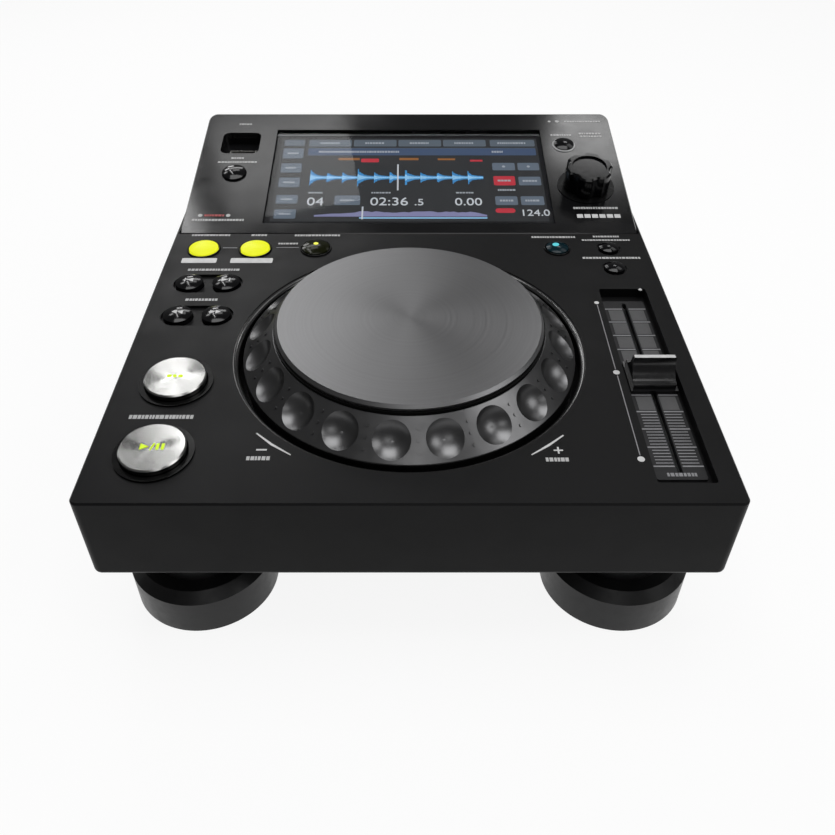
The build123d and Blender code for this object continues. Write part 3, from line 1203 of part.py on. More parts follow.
# Tact switches: square bodies with round plungers, one under every small and transport button.
with BuildPart() as tact_switches:
    switch_spots = [spot(panel, x, y, -PANEL_BOARD_TOP) for name, x, y, radius in PANEL_BUTTONS]
    switch_spots += [spot(panel, x, y, -PANEL_BOARD_TOP) for name, x, y in TRANSPORT_BUTTONS]
    switch_spots += [spot(screen, x, y, -DISPLAY_BOARD_TOP) for name, x, y, radius in SCREEN_BUTTONS]
    for place in switch_spots:
        with BuildSketch(place):
            Rectangle(SWITCH_SIZE, SWITCH_SIZE)
        extrude(amount=SWITCH_HEIGHT)
        with BuildSketch(place):
            Circle(SWITCH_PLUNGER_R)
        extrude(amount=SWITCH_HEIGHT + SWITCH_PLUNGER)
finish(tact_switches, "tact_switches")

with BuildPart() as main_board:
    with BuildSketch(Plane.XY.offset(MAIN_BOARD_BOTTOM)):
        with Locations((0, MAIN_BOARD_Y)):
            Rectangle(MAIN_BOARD_WIDTH, MAIN_BOARD_LENGTH)
        with Locations(*main_posts):
            Circle(SMALL_SCREW_R + SCREW_PLAY, mode=Mode.SUBTRACT)
    extrude(amount=BOARD_THICK)
    for x, y, width, length, height in MAIN_CHIPS:
        with BuildSketch(Plane.XY.offset(MAIN_BOARD_TOP)):
            with Locations((x, y)):
                Rectangle(width, length)
        extrude(amount=height)
    for x, y, radius, height in MAIN_CANS:
        with BuildSketch(Plane.XY.offset(MAIN_BOARD_TOP)):
            with Locations((x, y)):
                Circle(radius)
        extrude(amount=height)
finish(main_board, "main_board")

with BuildPart() as main_shield:
    with BuildSketch(Plane.XY.offset(MAIN_BOARD_TOP)):
        with Locations((SHIELD_X, SHIELD_Y)):
            Rectangle(SHIELD_WIDTH, SHIELD_LENGTH)
    extrude(amount=SHIELD_HEIGHT)
    with BuildSketch(Plane.XY.offset(MAIN_BOARD_TOP)):
        with Locations((SHIELD_X, SHIELD_Y)):
            Rectangle(SHIELD_WIDTH - 2 * SHIELD_WALL, SHIELD_LENGTH - 2 * SHIELD_WALL)
    extrude(amount=SHIELD_HEIGHT - SHIELD_WALL, mode=Mode.SUBTRACT)
finish(main_shield, "main_shield")

# Jack board: carries the rear sockets and the power switch, whose bore the power button's stem slides in.
SWITCH_FRONT = REAR_PANEL_Y - REAR_PANEL_THICK - 2 * FIT - POWER_FLANGE - POWER_TRAVEL
with BuildPart() as jack_board:
    with BuildSketch(Plane.XY.offset(BASE_TOP + JACK_BOARD_HEIGHT)):
        with Locations((0, JACK_BOARD_Y)):
            Rectangle(JACK_BOARD_WIDTH, JACK_BOARD_LENGTH)
        with Locations(*jack_posts):
            Circle(SMALL_SCREW_R + SCREW_PLAY, mode=Mode.SUBTRACT)
    extrude(amount=BOARD_THICK)
    for x, y, width, length, height in JACK_CHIPS:
        with BuildSketch(Plane.XY.offset(JACK_BOARD_TOP)):
            with Locations((x, y)):
                Rectangle(width, length)
        extrude(amount=height)
    with BuildSketch(Plane.XY.offset(JACK_BOARD_TOP)):
        with Locations((POWER_X, SWITCH_FRONT - POWER_SWITCH[1] / 2)):
            Rectangle(POWER_SWITCH[0], POWER_SWITCH[1])
    extrude(amount=POWER_SWITCH[2])
    with BuildSketch(Plane(origin=(POWER_X, SWITCH_FRONT, POWER_Z), x_dir=(1, 0, 0), z_dir=(0, -1, 0))):
        Rectangle(POWER_STEM + 2 * RUNNING, POWER_STEM + 2 * RUNNING)
    extrude(amount=POWER_BORE, mode=Mode.SUBTRACT)
finish(jack_board, "jack_board")

# ================================================================ sockets and power button


def rear_face(x, z, y=REAR_PANEL_Y):
    """An upright plane at the rear panel, facing forward: x to the right, y up."""
    return Plane(origin=(x, y, z), x_dir=(1, 0, 0), z_dir=(0, -1, 0))


with BuildPart() as usb_a_jack:
    with BuildSketch(spot(screen, POCKET_X, POCKET_Y, -POCKET_DEPTH)):
        Rectangle(USB_A_SIZE[0], USB_A_SIZE[1])
    extrude(amount=-USB_A_SIZE[2])
    with BuildSketch(spot(screen, POCKET_X, POCKET_Y, -DISPLAY_BOARD_TOP)):
        Rectangle(USB_A_SIZE[0] + 2 * USB_A_EAR, USB_A_SIZE[1] - USB_A_EAR)
    extrude(amount=FRAME_WALL)
    with BuildSketch(spot(screen, POCKET_X, POCKET_Y, -POCKET_DEPTH)):
        Rectangle(USB_A_MOUTH[0], USB_A_MOUTH[1])
    extrude(amount=-USB_A_DEPTH, mode=Mode.SUBTRACT)
    with BuildSketch(spot(screen, POCKET_X, POCKET_Y - (USB_A_MOUTH[1] - 2 * USB_A_TONGUE[1]) / 2, -POCKET_DEPTH)):
        Rectangle(USB_A_TONGUE[0], USB_A_TONGUE[1])
    extrude(amount=-USB_A_DEPTH)
finish(usb_a_jack, "usb_a_jack")

with BuildPart() as usb_b_jack:
    with BuildSketch(rear_face(USB_B_X, JACK_BOARD_TOP + USB_B_SIZE[2] / 2)):
        Rectangle(USB_B_SIZE[0], USB_B_SIZE[2])
    extrude(amount=USB_B_SIZE[1])
    with BuildSketch(rear_face(USB_B_X, JACK_BOARD_TOP + USB_B_SIZE[2] / 2)) as usb_b_mouth:
        Rectangle(USB_B_MOUTH[0], USB_B_MOUTH[2])
        chamfer(usb_b_mouth.vertices().group_by(Axis.Y)[-1], length=USB_B_CORNER)
        Rectangle(USB_B_TONGUE[0], USB_B_TONGUE[2], mode=Mode.SUBTRACT)
    extrude(amount=USB_B_MOUTH[1], mode=Mode.SUBTRACT)
    with BuildSketch(rear_face(USB_B_X, JACK_BOARD_TOP + USB_B_SIZE[2] / 2)):
        Rectangle(USB_B_TONGUE[0], USB_B_TONGUE[2])
    extrude(amount=USB_B_MOUTH[1] - USB_B_TONGUE[1], mode=Mode.SUBTRACT)
finish(usb_b_jack, "usb_b_jack")

with BuildPart() as lan_jack:
    with BuildSketch(rear_face(LAN_X, JACK_BOARD_TOP + LAN_SIZE[2] / 2)):
        Rectangle(LAN_SIZE[0], LAN_SIZE[2])
    extrude(amount=LAN_SIZE[1])
    with BuildSketch(rear_face(LAN_X, JACK_BOARD_TOP + LAN_FLOOR + LAN_MOUTH[2] / 2)):
        Rectangle(LAN_MOUTH[0], LAN_MOUTH[2])
    extrude(amount=LAN_MOUTH[1], mode=Mode.SUBTRACT)
    with BuildSketch(rear_face(LAN_X, JACK_BOARD_TOP + LAN_FLOOR + LAN_MOUTH[2])):
        Rectangle(LAN_LATCH, LAN_LATCH)
    extrude(amount=LAN_MOUTH[1] / 2, mode=Mode.SUBTRACT)
finish(lan_jack, "lan_jack")

with BuildPart() as rca_jacks:
    for x in RCA_X:
        with BuildSketch(rear_face(x, JACK_BOARD_TOP + RCA_SIZE[2] / 2, REAR_PANEL_Y - REAR_PANEL_THICK - FIT)):
            Rectangle(RCA_SIZE[0], RCA_SIZE[2])
        extrude(amount=RCA_SIZE[1])
        with BuildSketch(rear_face(x, JACK_BOARD_TOP + RCA_AXIS_HEIGHT)):
            Circle(RCA_COLLAR_R)
        extrude(amount=REAR_PANEL_THICK + FIT)
        with BuildSketch(rear_face(x, JACK_BOARD_TOP + RCA_AXIS_HEIGHT)):
            Circle(RCA_BARREL_R)
        extrude(amount=-RCA_BARREL)
        with BuildSketch(rear_face(x, JACK_BOARD_TOP + RCA_AXIS_HEIGHT, REAR_PANEL_Y + RCA_BARREL)):
            Circle(RCA_BORE_R)
        extrude(amount=RCA_BARREL + REAR_PANEL_THICK, mode=Mode.SUBTRACT)
finish(rca_jacks, "rca_jacks")

with BuildPart() as dc_jack:
    with BuildSketch(rear_face(DC_X, JACK_BOARD_TOP + DC_SIZE[2] / 2)):
        Rectangle(DC_SIZE[0], DC_SIZE[2])
    extrude(amount=DC_SIZE[1])
    with BuildSketch(rear_face(DC_X, JACK_BOARD_TOP + DC_SIZE[2] / 2)):
        Circle(DC_MOUTH_R)
        Circle(DC_PIN_R, mode=Mode.SUBTRACT)
    extrude(amount=DC_DEPTH, mode=Mode.SUBTRACT)
finish(dc_jack, "dc_jack")

# Power button: a rectangular cap through the rear panel, flanged inside it, on a square stem.
with BuildPart() as power_button:
    with BuildSketch(rear_face(POWER_X, POWER_Z, REAR_PANEL_Y + POWER_PROUD)):
        Rectangle(POWER_SIZE[0], POWER_SIZE[1])
    extrude(amount=POWER_PROUD + REAR_PANEL_THICK + FIT)
    chamfer(power_button.faces().sort_by(Axis.Y)[-1].edges(), length=TRANSPORT_BEVEL)
    with BuildSketch(rear_face(POWER_X, POWER_Z, REAR_PANEL_Y - REAR_PANEL_THICK - FIT)):
        Rectangle(POWER_SIZE[0] + 2 * POWER_FLANGE, POWER_SIZE[1] + 2 * POWER_FLANGE)
    extrude(amount=POWER_FLANGE)
    with BuildSketch(rear_face(POWER_X, POWER_Z, REAR_PANEL_Y - REAR_PANEL_THICK - FIT - POWER_FLANGE)):
        Rectangle(POWER_STEM, POWER_STEM)
    extrude(amount=POWER_BORE)
finish(power_button, "power_button")

# ================================================================ screws on the boards

# Each place is a plane on the screw's seat, its normal pointing into the post.
under_panel = [spot(panel, x, y, -PANEL_BOARD_TOP - BOARD_THICK) for x, y in PANEL_POSTS]
under_screen = [spot(screen, x, y, -DISPLAY_BOARD_TOP - BOARD_THICK) for x, y in SCREEN_POSTS]
under_ears = [spot(screen, x, y, -LCD_BACK - FRAME_WALL) for x, y in ear_spots]
under_well = [
    spot(
        panel,
        HOLDER_SCREW_R * cos(radians(i * 360 / HOLDER_SCREWS)),
        JOG_Y + HOLDER_SCREW_R * sin(radians(i * 360 / HOLDER_SCREWS)),
        -WELL_DEPTH - WELL_FLOOR - HOLDER_THICK,
    )
    for i in range(HOLDER_SCREWS)
]
on_main = [Plane(origin=(x, y, MAIN_BOARD_TOP), z_dir=(0, 0, -1)) for x, y in main_posts]
on_jack = [Plane(origin=(x, y, JACK_BOARD_TOP), z_dir=(0, 0, -1)) for x, y in jack_posts]
with BuildPart() as board_screws:
    for places, length in (
        (under_panel + under_screen + on_main + on_jack, SMALL_SCREW_LENGTH),
        (under_ears + under_well, SHORT_SCREW_LENGTH),
    ):
        for place in places:
            with BuildSketch(place):
                Circle(SMALL_SCREW_R)
            extrude(amount=length)
            with BuildSketch(place):
                Circle(SMALL_SCREW_HEAD_R)
            extrude(amount=-SMALL_SCREW_HEAD)
finish(board_screws, "board_screws")
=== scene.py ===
"""Looks of the tabletop player: materials, thin pieces on its faces, stage, lights and camera."""

import math
import random

import bmesh
import bpy
from mathutils import Matrix, Vector


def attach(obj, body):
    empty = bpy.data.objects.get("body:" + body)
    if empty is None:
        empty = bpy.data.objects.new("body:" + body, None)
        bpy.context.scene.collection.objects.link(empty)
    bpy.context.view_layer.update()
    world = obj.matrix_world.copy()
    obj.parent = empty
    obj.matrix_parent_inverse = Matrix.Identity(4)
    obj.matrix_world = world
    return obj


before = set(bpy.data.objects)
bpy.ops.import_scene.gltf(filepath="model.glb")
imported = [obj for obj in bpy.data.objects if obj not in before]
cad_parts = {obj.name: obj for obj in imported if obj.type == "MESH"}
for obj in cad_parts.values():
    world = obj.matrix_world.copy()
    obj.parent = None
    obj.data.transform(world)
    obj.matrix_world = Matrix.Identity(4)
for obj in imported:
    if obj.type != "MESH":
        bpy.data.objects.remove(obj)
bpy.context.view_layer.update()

# Units here are metres. Places on the two tilted faces are in millimetres: x to the right, y up the face's
# slope from its front edge, and h along its outward normal.
MM = 0.001


def tilted(y, z, tilt):
    """The matrix of a tilted face whose front edge is at y and z."""
    c = math.cos(math.radians(tilt))
    s = math.sin(math.radians(tilt))
    return Matrix(((1, 0, 0, 0), (0, c, -s, y * MM), (0, s, c, z * MM), (0, 0, 0, 1)))


# ---------------------------------------------------------------- places, the same as in the CAD
HEIGHT = 102.4
PANEL_TILT, PANEL_LENGTH = 2.8, 168.3
SCREEN_TILT, SCREEN_LENGTH = 12.6, 99.65
FRONT_Y = -150.75
STEP_Z = HEIGHT - SCREEN_LENGTH * math.sin(math.radians(SCREEN_TILT))
STEP_Y = FRONT_Y + PANEL_LENGTH * math.cos(math.radians(PANEL_TILT))
FRONT_Z = STEP_Z - PANEL_LENGTH * math.sin(math.radians(PANEL_TILT))
PANEL = tilted(FRONT_Y, FRONT_Z, PANEL_TILT)
SCREEN = tilted(STEP_Y, STEP_Z, SCREEN_TILT)

JOG = (0, 82.6)
CUE = (-87.0, 60.2)
PLAY = (-87.0, 23.0)
TRANSPORT_TOP = 3.2
FADER = (91.5, 65.8)
FADER_TOP = 8.0
SCALE_TOP = -3.3
LCD_TOP = -2.19
# The centre and the cap's radius of each small round button, and how high the cap's edge and its crown are.
BUTTONS = {
    "loop_in": (-94.1, 154.6, 6.6),
    "loop_out": (-70.5, 154.6, 6.6),
    "reloop": (-42.7, 155.2, 6.2),
    "vinyl": (68.1, 155.0, 5.0),
    "track_back": (-95.2, 126.6, 5.9),
    "track_forward": (-79.2, 126.6, 5.9),
    "search_back": (-95.4, 102.8, 5.9),
    "search_forward": (-79.5, 102.8, 5.9),
}
CAP_EDGE = 0.9
CAP_CROWN = 1.0


def spot(face, x, y, h=0.0):
    """A point on a face, in metres."""
    return face @ Vector((x * MM, y * MM, h * MM))


# ---------------------------------------------------------------- flat shapes, in millimetres
DASH_LENGTH = (0.7, 1.5)
DASH_GAP = (0.22, 0.4)
DASH_LEAST = 0.5
CORNER_STEPS = 4


def rect(x0, x1, y0, y1):
    return [(x0, y0), (x1, y0), (x1, y1), (x0, y1)]


def disc(x, y, r, steps=24):
    angles = [2 * math.pi * i / steps for i in range(steps)]
    return [(x + r * math.cos(a), y + r * math.sin(a)) for a in angles]


def rounded(x0, x1, y0, y1, r):
    """A rectangle with round corners."""
    corners = ((x1 - r, y1 - r, 0), (x0 + r, y1 - r, 90), (x0 + r, y0 + r, 180), (x1 - r, y0 + r, 270))
    shape = []
    for cx, cy, start in corners:
        for i in range(CORNER_STEPS + 1):
            a = math.radians(start + 90 * i / CORNER_STEPS)
            shape.append((cx + r * math.cos(a), cy + r * math.sin(a)))
    return shape


def stroke(x0, y0, x1, y1, w0, w1=None):
    """A straight line of a width, which may change to another at its far end."""
    w1 = w0 if w1 is None else w1
    length = math.hypot(x1 - x0, y1 - y0)
    nx, ny = -(y1 - y0) / length / 2, (x1 - x0) / length / 2
    return [
        (x0 - nx * w0, y0 - ny * w0),
        (x1 - nx * w1, y1 - ny * w1),
        (x1 + nx * w1, y1 + ny * w1),
        (x0 + nx * w0, y0 + ny * w0),
    ]


def arrow(x, y, width, height):
    """A triangle from a foot at x that points to the right, or to the left for a negative width."""
    shape = [(x, y - height / 2), (x + width, y), (x, y + height / 2)]
    return shape if width > 0 else shape[::-1]


def dashes(x0, x1, y, height, seed):
    """A row of short blocks that stands where a label was."""
    rng = random.Random(seed)
    shapes = []
    x = x0
    while x < x1 - DASH_LEAST:
        width = min(rng.uniform(*DASH_LENGTH), x1 - x)
        shapes.append(rect(x, x + width, y - height / 2, y + height / 2))
        x += width + rng.uniform(*DASH_GAP)
    return shapes


def dash_rows(rows, first_seed):
    """Several rows of dashes. Their seeds count up from the first."""
    shapes = []
    for i, row in enumerate(rows):
        shapes += dashes(*row, first_seed + i)
    return shapes


# ---------------------------------------------------------------- mesh builders
PRINT_THICK = 0.06


def add_object(name, bm, material):
    """Makes an object of a finished bmesh."""
    mesh = bpy.data.meshes.new(name)
    bm.normal_update()
    bm.to_mesh(mesh)
    bm.free()
    mesh.materials.append(material)
    thing = bpy.data.objects.new(name, mesh)
    bpy.context.scene.collection.objects.link(thing)
    return thing


def add_piece(name, bm, look, body="chassis", smooth=False):
    """Makes a piece of a finished bmesh that rides on a body."""
    piece = add_object(name, bm, mat[look])
    for poly in piece.data.polygons:
        poly.use_smooth = smooth
    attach(piece, body)


def level_top(x, y):
    return 0.0


def printed(name, face, shapes, look, body="chassis", h=0.0, thick=PRINT_THICK, lift=level_top):
    """A thin printed or inlaid mark of closed prisms. lift gives the height of the top that they lie on."""
    bm = bmesh.new()
    for shape in shapes:
        low, high = (
            [bm.verts.new(spot(face, x, y, level + lift(x, y))) for x, y in shape]
            for level in (h, h + thick)
        )
        bm.faces.new(low[::-1])
        bm.faces.new(high)
        for i in range(len(shape)):
            bm.faces.new((low[i - 1], low[i], high[i], high[i - 1]))
    add_piece(name, bm, look, body)


def lathe(name, face, x, y, profile, look, slot, steps=64):
    """A turned piece about a face's normal. The profile is a closed line of (radius, height)."""
    bm = bmesh.new()
    rings = []
    for i in range(steps):
        a = 2 * math.pi * i / steps
        places = [spot(face, x + r * math.cos(a), y + r * math.sin(a), h) for r, h in profile]
        rings.append([bm.verts.new(place) for place in places])
    for i in range(steps):
        for k in range(len(profile)):
            bm.faces.new((rings[i - 1][k - 1], rings[i][k - 1], rings[i][k], rings[i - 1][k]))
    bmesh.ops.recalc_face_normals(bm, faces=bm.faces)
    add_piece(name, bm, look, smooth=True)


def digits(name, face, text, x, y, size, look, slot, h, thick):
    """Plain digits as a thin mesh, placed by their lower left corner."""
    curve = bpy.data.curves.new(name, "FONT")
    curve.body = text
    curve.size = size * MM
    curve.extrude = thick * MM / 2
    temp = bpy.data.objects.new(name + "_curve", curve)
    bpy.context.scene.collection.objects.link(temp)
    bpy.context.view_layer.update()
    mesh = bpy.data.meshes.new_from_object(temp.evaluated_get(bpy.context.evaluated_depsgraph_get()))
    bpy.data.objects.remove(temp)
    bm = bmesh.new()
    bm.from_mesh(mesh)
    bpy.data.meshes.remove(mesh)
    place = face @ Matrix.Translation(Vector((x, y, h + thick / 2)) * MM)
    bmesh.ops.transform(bm, matrix=place, verts=bm.verts)
    add_piece(name, bm, look)


# ---------------------------------------------------------------- shader nodes


def feed(tree, node, inputs):
    """Gives each input its value, or links it to the output that it is given."""
    for key, value in inputs.items():
        if isinstance(value, bpy.types.NodeSocket):
            tree.links.new(value, node.inputs[key])
        else:
            node.inputs[key].default_value = value


def add_node(tree, kind, inputs=None, **settings):
    """Adds a node with its settings, and feeds its inputs."""
    node = tree.nodes.new(kind)
    for key, value in settings.items():
        setattr(node, key, value)
    feed(tree, node, inputs or {})
    return node


def new_material(name):
    """A new material, its node tree and its shader."""
    material = bpy.data.materials.new(name)
    material.use_nodes = True
    return material, material.node_tree, material.node_tree.nodes["Principled BSDF"]


def emptied_tree(owner):
    """The node tree of a material or world, with nothing in it."""
    owner.use_nodes = True
    owner.node_tree.nodes.clear()
    return owner.node_tree


def object_coords(tree):
    return add_node(tree, "ShaderNodeTexCoord").outputs["Object"]


def vector_math(tree, operation, *inputs, output="Vector"):
    node = add_node(tree, "ShaderNodeVectorMath", dict(enumerate(inputs)), operation=operation)
    return node.outputs[output]


def noise(tree, scale, detail=3.0, stretch=None):
    """A noise texture over the object, stretched along an axis if asked."""
    place = object_coords(tree)
    if stretch:
        place = add_node(tree, "ShaderNodeMapping", {"Vector": place, "Scale": stretch}).outputs["Vector"]
    inputs = {"Vector": place, "Scale": scale, "Detail": detail, "Roughness": 0.55}
    return add_node(tree, "ShaderNodeTexNoise", inputs).outputs["Fac"]


def spread(tree, factor, low, high):
    """Maps a texture's middle range to two values."""
    inputs = {"Value": factor, "From Min": 0.3, "From Max": 0.7, "To Min": low, "To Max": high}
    return add_node(tree, "ShaderNodeMapRange", inputs).outputs["Result"]


def shade(colour, factor):
    return tuple(c * factor for c in colour)


def two_tone(tree, factor, dark, light):
    inputs = {"Factor": factor, "A": (*dark, 1), "B": (*light, 1)}
    return add_node(tree, "ShaderNodeMix", inputs, data_type="RGBA").outputs["Result"]


def bump(tree, height, strength, depth):
    """A relief of a depth in millimetres."""
    inputs = {"Height": height, "Strength": strength, "Distance": depth * MM}
    return add_node(tree, "ShaderNodeBump", inputs).outputs["Normal"]


# ---------------------------------------------------------------- kinds of material
GRAIN_SCALE = 2200.0
TURNED_SCALE = 900.0
PIXEL_SCALE = 1400.0


def surface(name, colour, rough, spans=0.06, tint=0.25, metal=0.0, coat=0.0, patch=35.0, relief=0.3,
            depth=0.02, specular=0.5, stretch=None):
    """A moulded, painted or plated surface: patchy colour and gloss, and a fine grain in relief.

    The roughness varies by spans and the colour by tint, and patch is the scale of the patches. relief and
    depth are the strength and the height of the grain. stretch draws grain and gloss out along an axis.
    """
    material, tree, shader = new_material(name)
    patches = spread(tree, noise(tree, patch), 0, 1)
    wear = noise(tree, patch * 5, detail=5.0, stretch=stretch)
    grain = noise(tree, GRAIN_SCALE, detail=2.0, stretch=stretch)
    feed(tree, shader, {
        "Base Color": two_tone(tree, patches, shade(colour, 1 - tint), shade(colour, 1 + tint)),
        "Metallic": metal,
        "Roughness": spread(tree, wear, rough - spans, rough + spans),
        "Specular IOR Level": specular,
        "Coat Weight": coat,
        "Coat Roughness": 0.04,
        "Normal": bump(tree, grain, relief, depth),
    })
    return material


def spun(name, colour, centre, rough, anisotropy):
    """Metal turned about a place on the main panel: fine rings and a stretched highlight."""
    material, tree, shader = new_material(name)
    axis = PANEL.to_3x3() @ Vector((0, 0, 1))
    away = vector_math(tree, "SUBTRACT", object_coords(tree), spot(PANEL, *centre))
    around = vector_math(tree, "CROSS_PRODUCT", axis, away)
    radius = vector_math(tree, "LENGTH", around, output="Value")
    inputs = {"W": radius, "Scale": TURNED_SCALE, "Detail": 4.0}
    rings = add_node(tree, "ShaderNodeTexNoise", inputs, noise_dimensions="1D").outputs["Fac"]
    feed(tree, shader, {
        "Base Color": two_tone(tree, spread(tree, rings, 0, 1), shade(colour, 0.93), colour),
        "Metallic": 1.0,
        "Roughness": spread(tree, rings, rough - 0.02, rough + 0.02),
        "Anisotropic": anisotropy,
        "Tangent": vector_math(tree, "NORMALIZE", around),
        "Normal": bump(tree, rings, 0.03, 0.01),
    })
    return material


def lit(name, colour, strength=1.0, tint=0.12):
    """A lit area of the display or a lamp: an even glow with a faint grid."""
    material, tree, shader = new_material(name)
    inputs = {"Vector": object_coords(tree), "Scale": PIXEL_SCALE}
    grid = add_node(tree, "ShaderNodeTexWave", inputs, bands_direction="X").outputs["Fac"]
    both = add_node(tree, "ShaderNodeMath", {0: grid, 1: noise(tree, 60.0)}, operation="MULTIPLY")
    tone = two_tone(tree, both.outputs["Value"], shade(colour, 1 - tint), shade(colour, 1 + tint))
    feed(tree, shader, {
        "Base Color": (*shade(colour, 0.2), 1),
        "Roughness": 0.35,
        "Specular IOR Level": 0.15,
        "Emission Color": tone,
        "Emission Strength": strength,
    })
    return material


def clear(name, tone):
    """Cover glass with faint smears in its gloss."""
    material, tree, shader = new_material(name)
    feed(tree, shader, {
        "Base Color": (*tone, 1),
        "Roughness": spread(tree, noise(tree, 45.0, detail=6.0), 0.0, 0.05),
        "IOR": 1.22,
        "Transmission Weight": 1.0,
    })
    return material


# ---------------------------------------------------------------- the materials
mat = {
    # casing and feet
    "panel": surface("panel_black", (0.005, 0.005, 0.0053), 0.42, depth=0.03, patch=12.0, tint=0.1,
                     specular=0.11),
    "cover": surface("cover_black", (0.005, 0.005, 0.0055), 0.14, spans=0.03, relief=0.03, patch=14.0,
                     specular=0.3),
    "base": surface("base_black", (0.010, 0.010, 0.010), 0.6, relief=0.5, depth=0.05),
    "rear": surface("rear_black", (0.010, 0.010, 0.010), 0.55, relief=0.5, depth=0.04),
    "foot": surface("foot_black", (0.008, 0.008, 0.0085), 0.36, relief=0.4, depth=0.05, patch=60.0,
                    specular=0.3),
    "pad": surface("pad_rubber", (0.014, 0.014, 0.014), 0.85, relief=0.8, depth=0.1),
    "screw": surface("screw_zinc", (0.45, 0.45, 0.46), 0.32, metal=1.0, tint=0.15, patch=400.0),
    "screw_dark": surface("screw_black", (0.02, 0.02, 0.02), 0.4, metal=0.6, patch=400.0),
    # jog wheel
    "dial": surface("dial_black", (0.12, 0.12, 0.122), 0.34, spans=0.03, metal=1.0, relief=0.05, patch=40.0,
                    tint=0.1),
    "lip": surface("lip_black", (0.008, 0.008, 0.008), 0.16, spans=0.03, relief=0.05, patch=40.0,
                   specular=1.0),
    "rim": surface("rim_black", (0.0015, 0.0015, 0.0015), 0.45, relief=0.2, specular=0.08),
    "plate": spun("plate_metal", (0.175, 0.175, 0.178), JOG, rough=0.36, anisotropy=0.6),
    "steel": surface("steel_ground", (0.55, 0.55, 0.55), 0.25, metal=1.0, tint=0.1, stretch=(1, 1, 30)),
    "bronze": surface("bush_bronze", (0.42, 0.26, 0.12), 0.5, metal=1.0, tint=0.3, patch=500.0),
    "sheet": surface("bracket_steel", (0.42, 0.43, 0.44), 0.35, metal=1.0, tint=0.1, stretch=(12, 1, 1)),
    "film": surface("code_film", (0.012, 0.012, 0.014), 0.3),
    # buttons, selector and fader
    "cue": spun("cue_metal", (0.35, 0.35, 0.342), CUE, rough=0.16, anisotropy=0.95),
    "play": spun("play_metal", (0.35, 0.35, 0.342), PLAY, rough=0.16, anisotropy=0.95),
    "cap": surface("cap_black", (0.002, 0.002, 0.0025), 0.1, spans=0.02, relief=0.03, patch=90.0,
                   specular=0.3),
    "yellow": lit("loop_yellow", (0.80, 0.84, 0.012), 0.9, tint=0.08),
    "amber": surface("reloop_dark", (0.006, 0.007, 0.001), 0.14, spans=0.03, specular=0.14, patch=160.0,
                     relief=0.03),
    "teal": surface("vinyl_teal", (0.002, 0.012, 0.017), 0.14, spans=0.03, specular=0.14, patch=160.0,
                    relief=0.03),
    "bezel": surface("bezel_black", (0.002, 0.002, 0.002), 0.2, spans=0.03, relief=0.04, specular=0.1),
    "knob": surface("knob_black", (0.002, 0.002, 0.0025), 0.14, spans=0.03, relief=0.05, patch=80.0,
                    specular=0.25),
    "ring": surface("ring_grey", (0.004, 0.004, 0.0042), 0.3, relief=0.1, patch=60.0, specular=0.12),
    "ring_pale": surface("ring_pale", (0.36, 0.36, 0.365), 0.35, relief=0.1, patch=60.0),
    "fader": surface("fader_black", (0.006, 0.006, 0.0065), 0.2, spans=0.04, relief=0.1, patch=120.0,
                     specular=0.55),
    "scale": surface("scale_grey", (0.02, 0.02, 0.021), 0.5, tint=0.15, relief=0.2, patch=60.0,
                     specular=0.15),
    "scale_block": surface("scale_block", (0.055, 0.055, 0.057), 0.45, tint=0.1, patch=90.0, relief=0.2),
    # boards and sockets
    "inner": surface("inner_plastic", (0.02, 0.02, 0.022), 0.5),
    "board": surface("board_green", (0.012, 0.075, 0.03), 0.35, tint=0.35, patch=260.0, coat=0.3),
    "shell": surface("socket_nickel", (0.55, 0.54, 0.52), 0.3, metal=1.0, tint=0.12, stretch=(8, 1, 1)),
    "socket": surface("socket_black", (0.01, 0.01, 0.01), 0.45),
    "plated": surface("rca_plated", (0.62, 0.60, 0.56), 0.2, metal=1.0, tint=0.08),
    # prints
    "print": surface("print_white", (0.52, 0.52, 0.52), 0.5, tint=0.08, patch=300.0, relief=0.2),
    "label": surface("label_white", (0.40, 0.40, 0.40), 0.5, tint=0.08, patch=300.0, relief=0.2),
    "print_grey": surface("print_grey", (0.20, 0.20, 0.21), 0.5, tint=0.1, patch=300.0, relief=0.2),
    "print_red": surface("print_red", (0.32, 0.03, 0.03), 0.5, tint=0.1, patch=300.0, relief=0.2),
    # display
    "glass": clear("cover_glass", (0.93, 0.95, 0.96)),
    "screen": lit("screen_dark", (0.004, 0.004, 0.005)),
    "ui_blue": lit("ui_blue", (0.05, 0.30, 0.68), tint=0.3),
}
GLOWS = {
    "ui_back": (0.024, 0.025, 0.027),
    "ui_key": (0.10, 0.125, 0.16),
    "ui_tab": (0.085, 0.105, 0.13),
    "ui_bar": (0.045, 0.07, 0.13),
    "ui_pale": (0.30, 0.60, 0.88),
    "ui_label": (0.29, 0.31, 0.34),
    "ui_white": (0.48, 0.50, 0.53),
    "ui_red": (0.42, 0.03, 0.045),
    "ui_orange": (0.24, 0.10, 0.03),
    "ui_lilac": (0.19, 0.19, 0.33),
    "glow_yellow": (0.95, 0.95, 0.10),
    "glow_green": (0.62, 0.85, 0.03),
    "glow_teal": (0.10, 0.55, 0.62),
}
for look, colour in GLOWS.items():
    mat[look] = lit(look, colour)

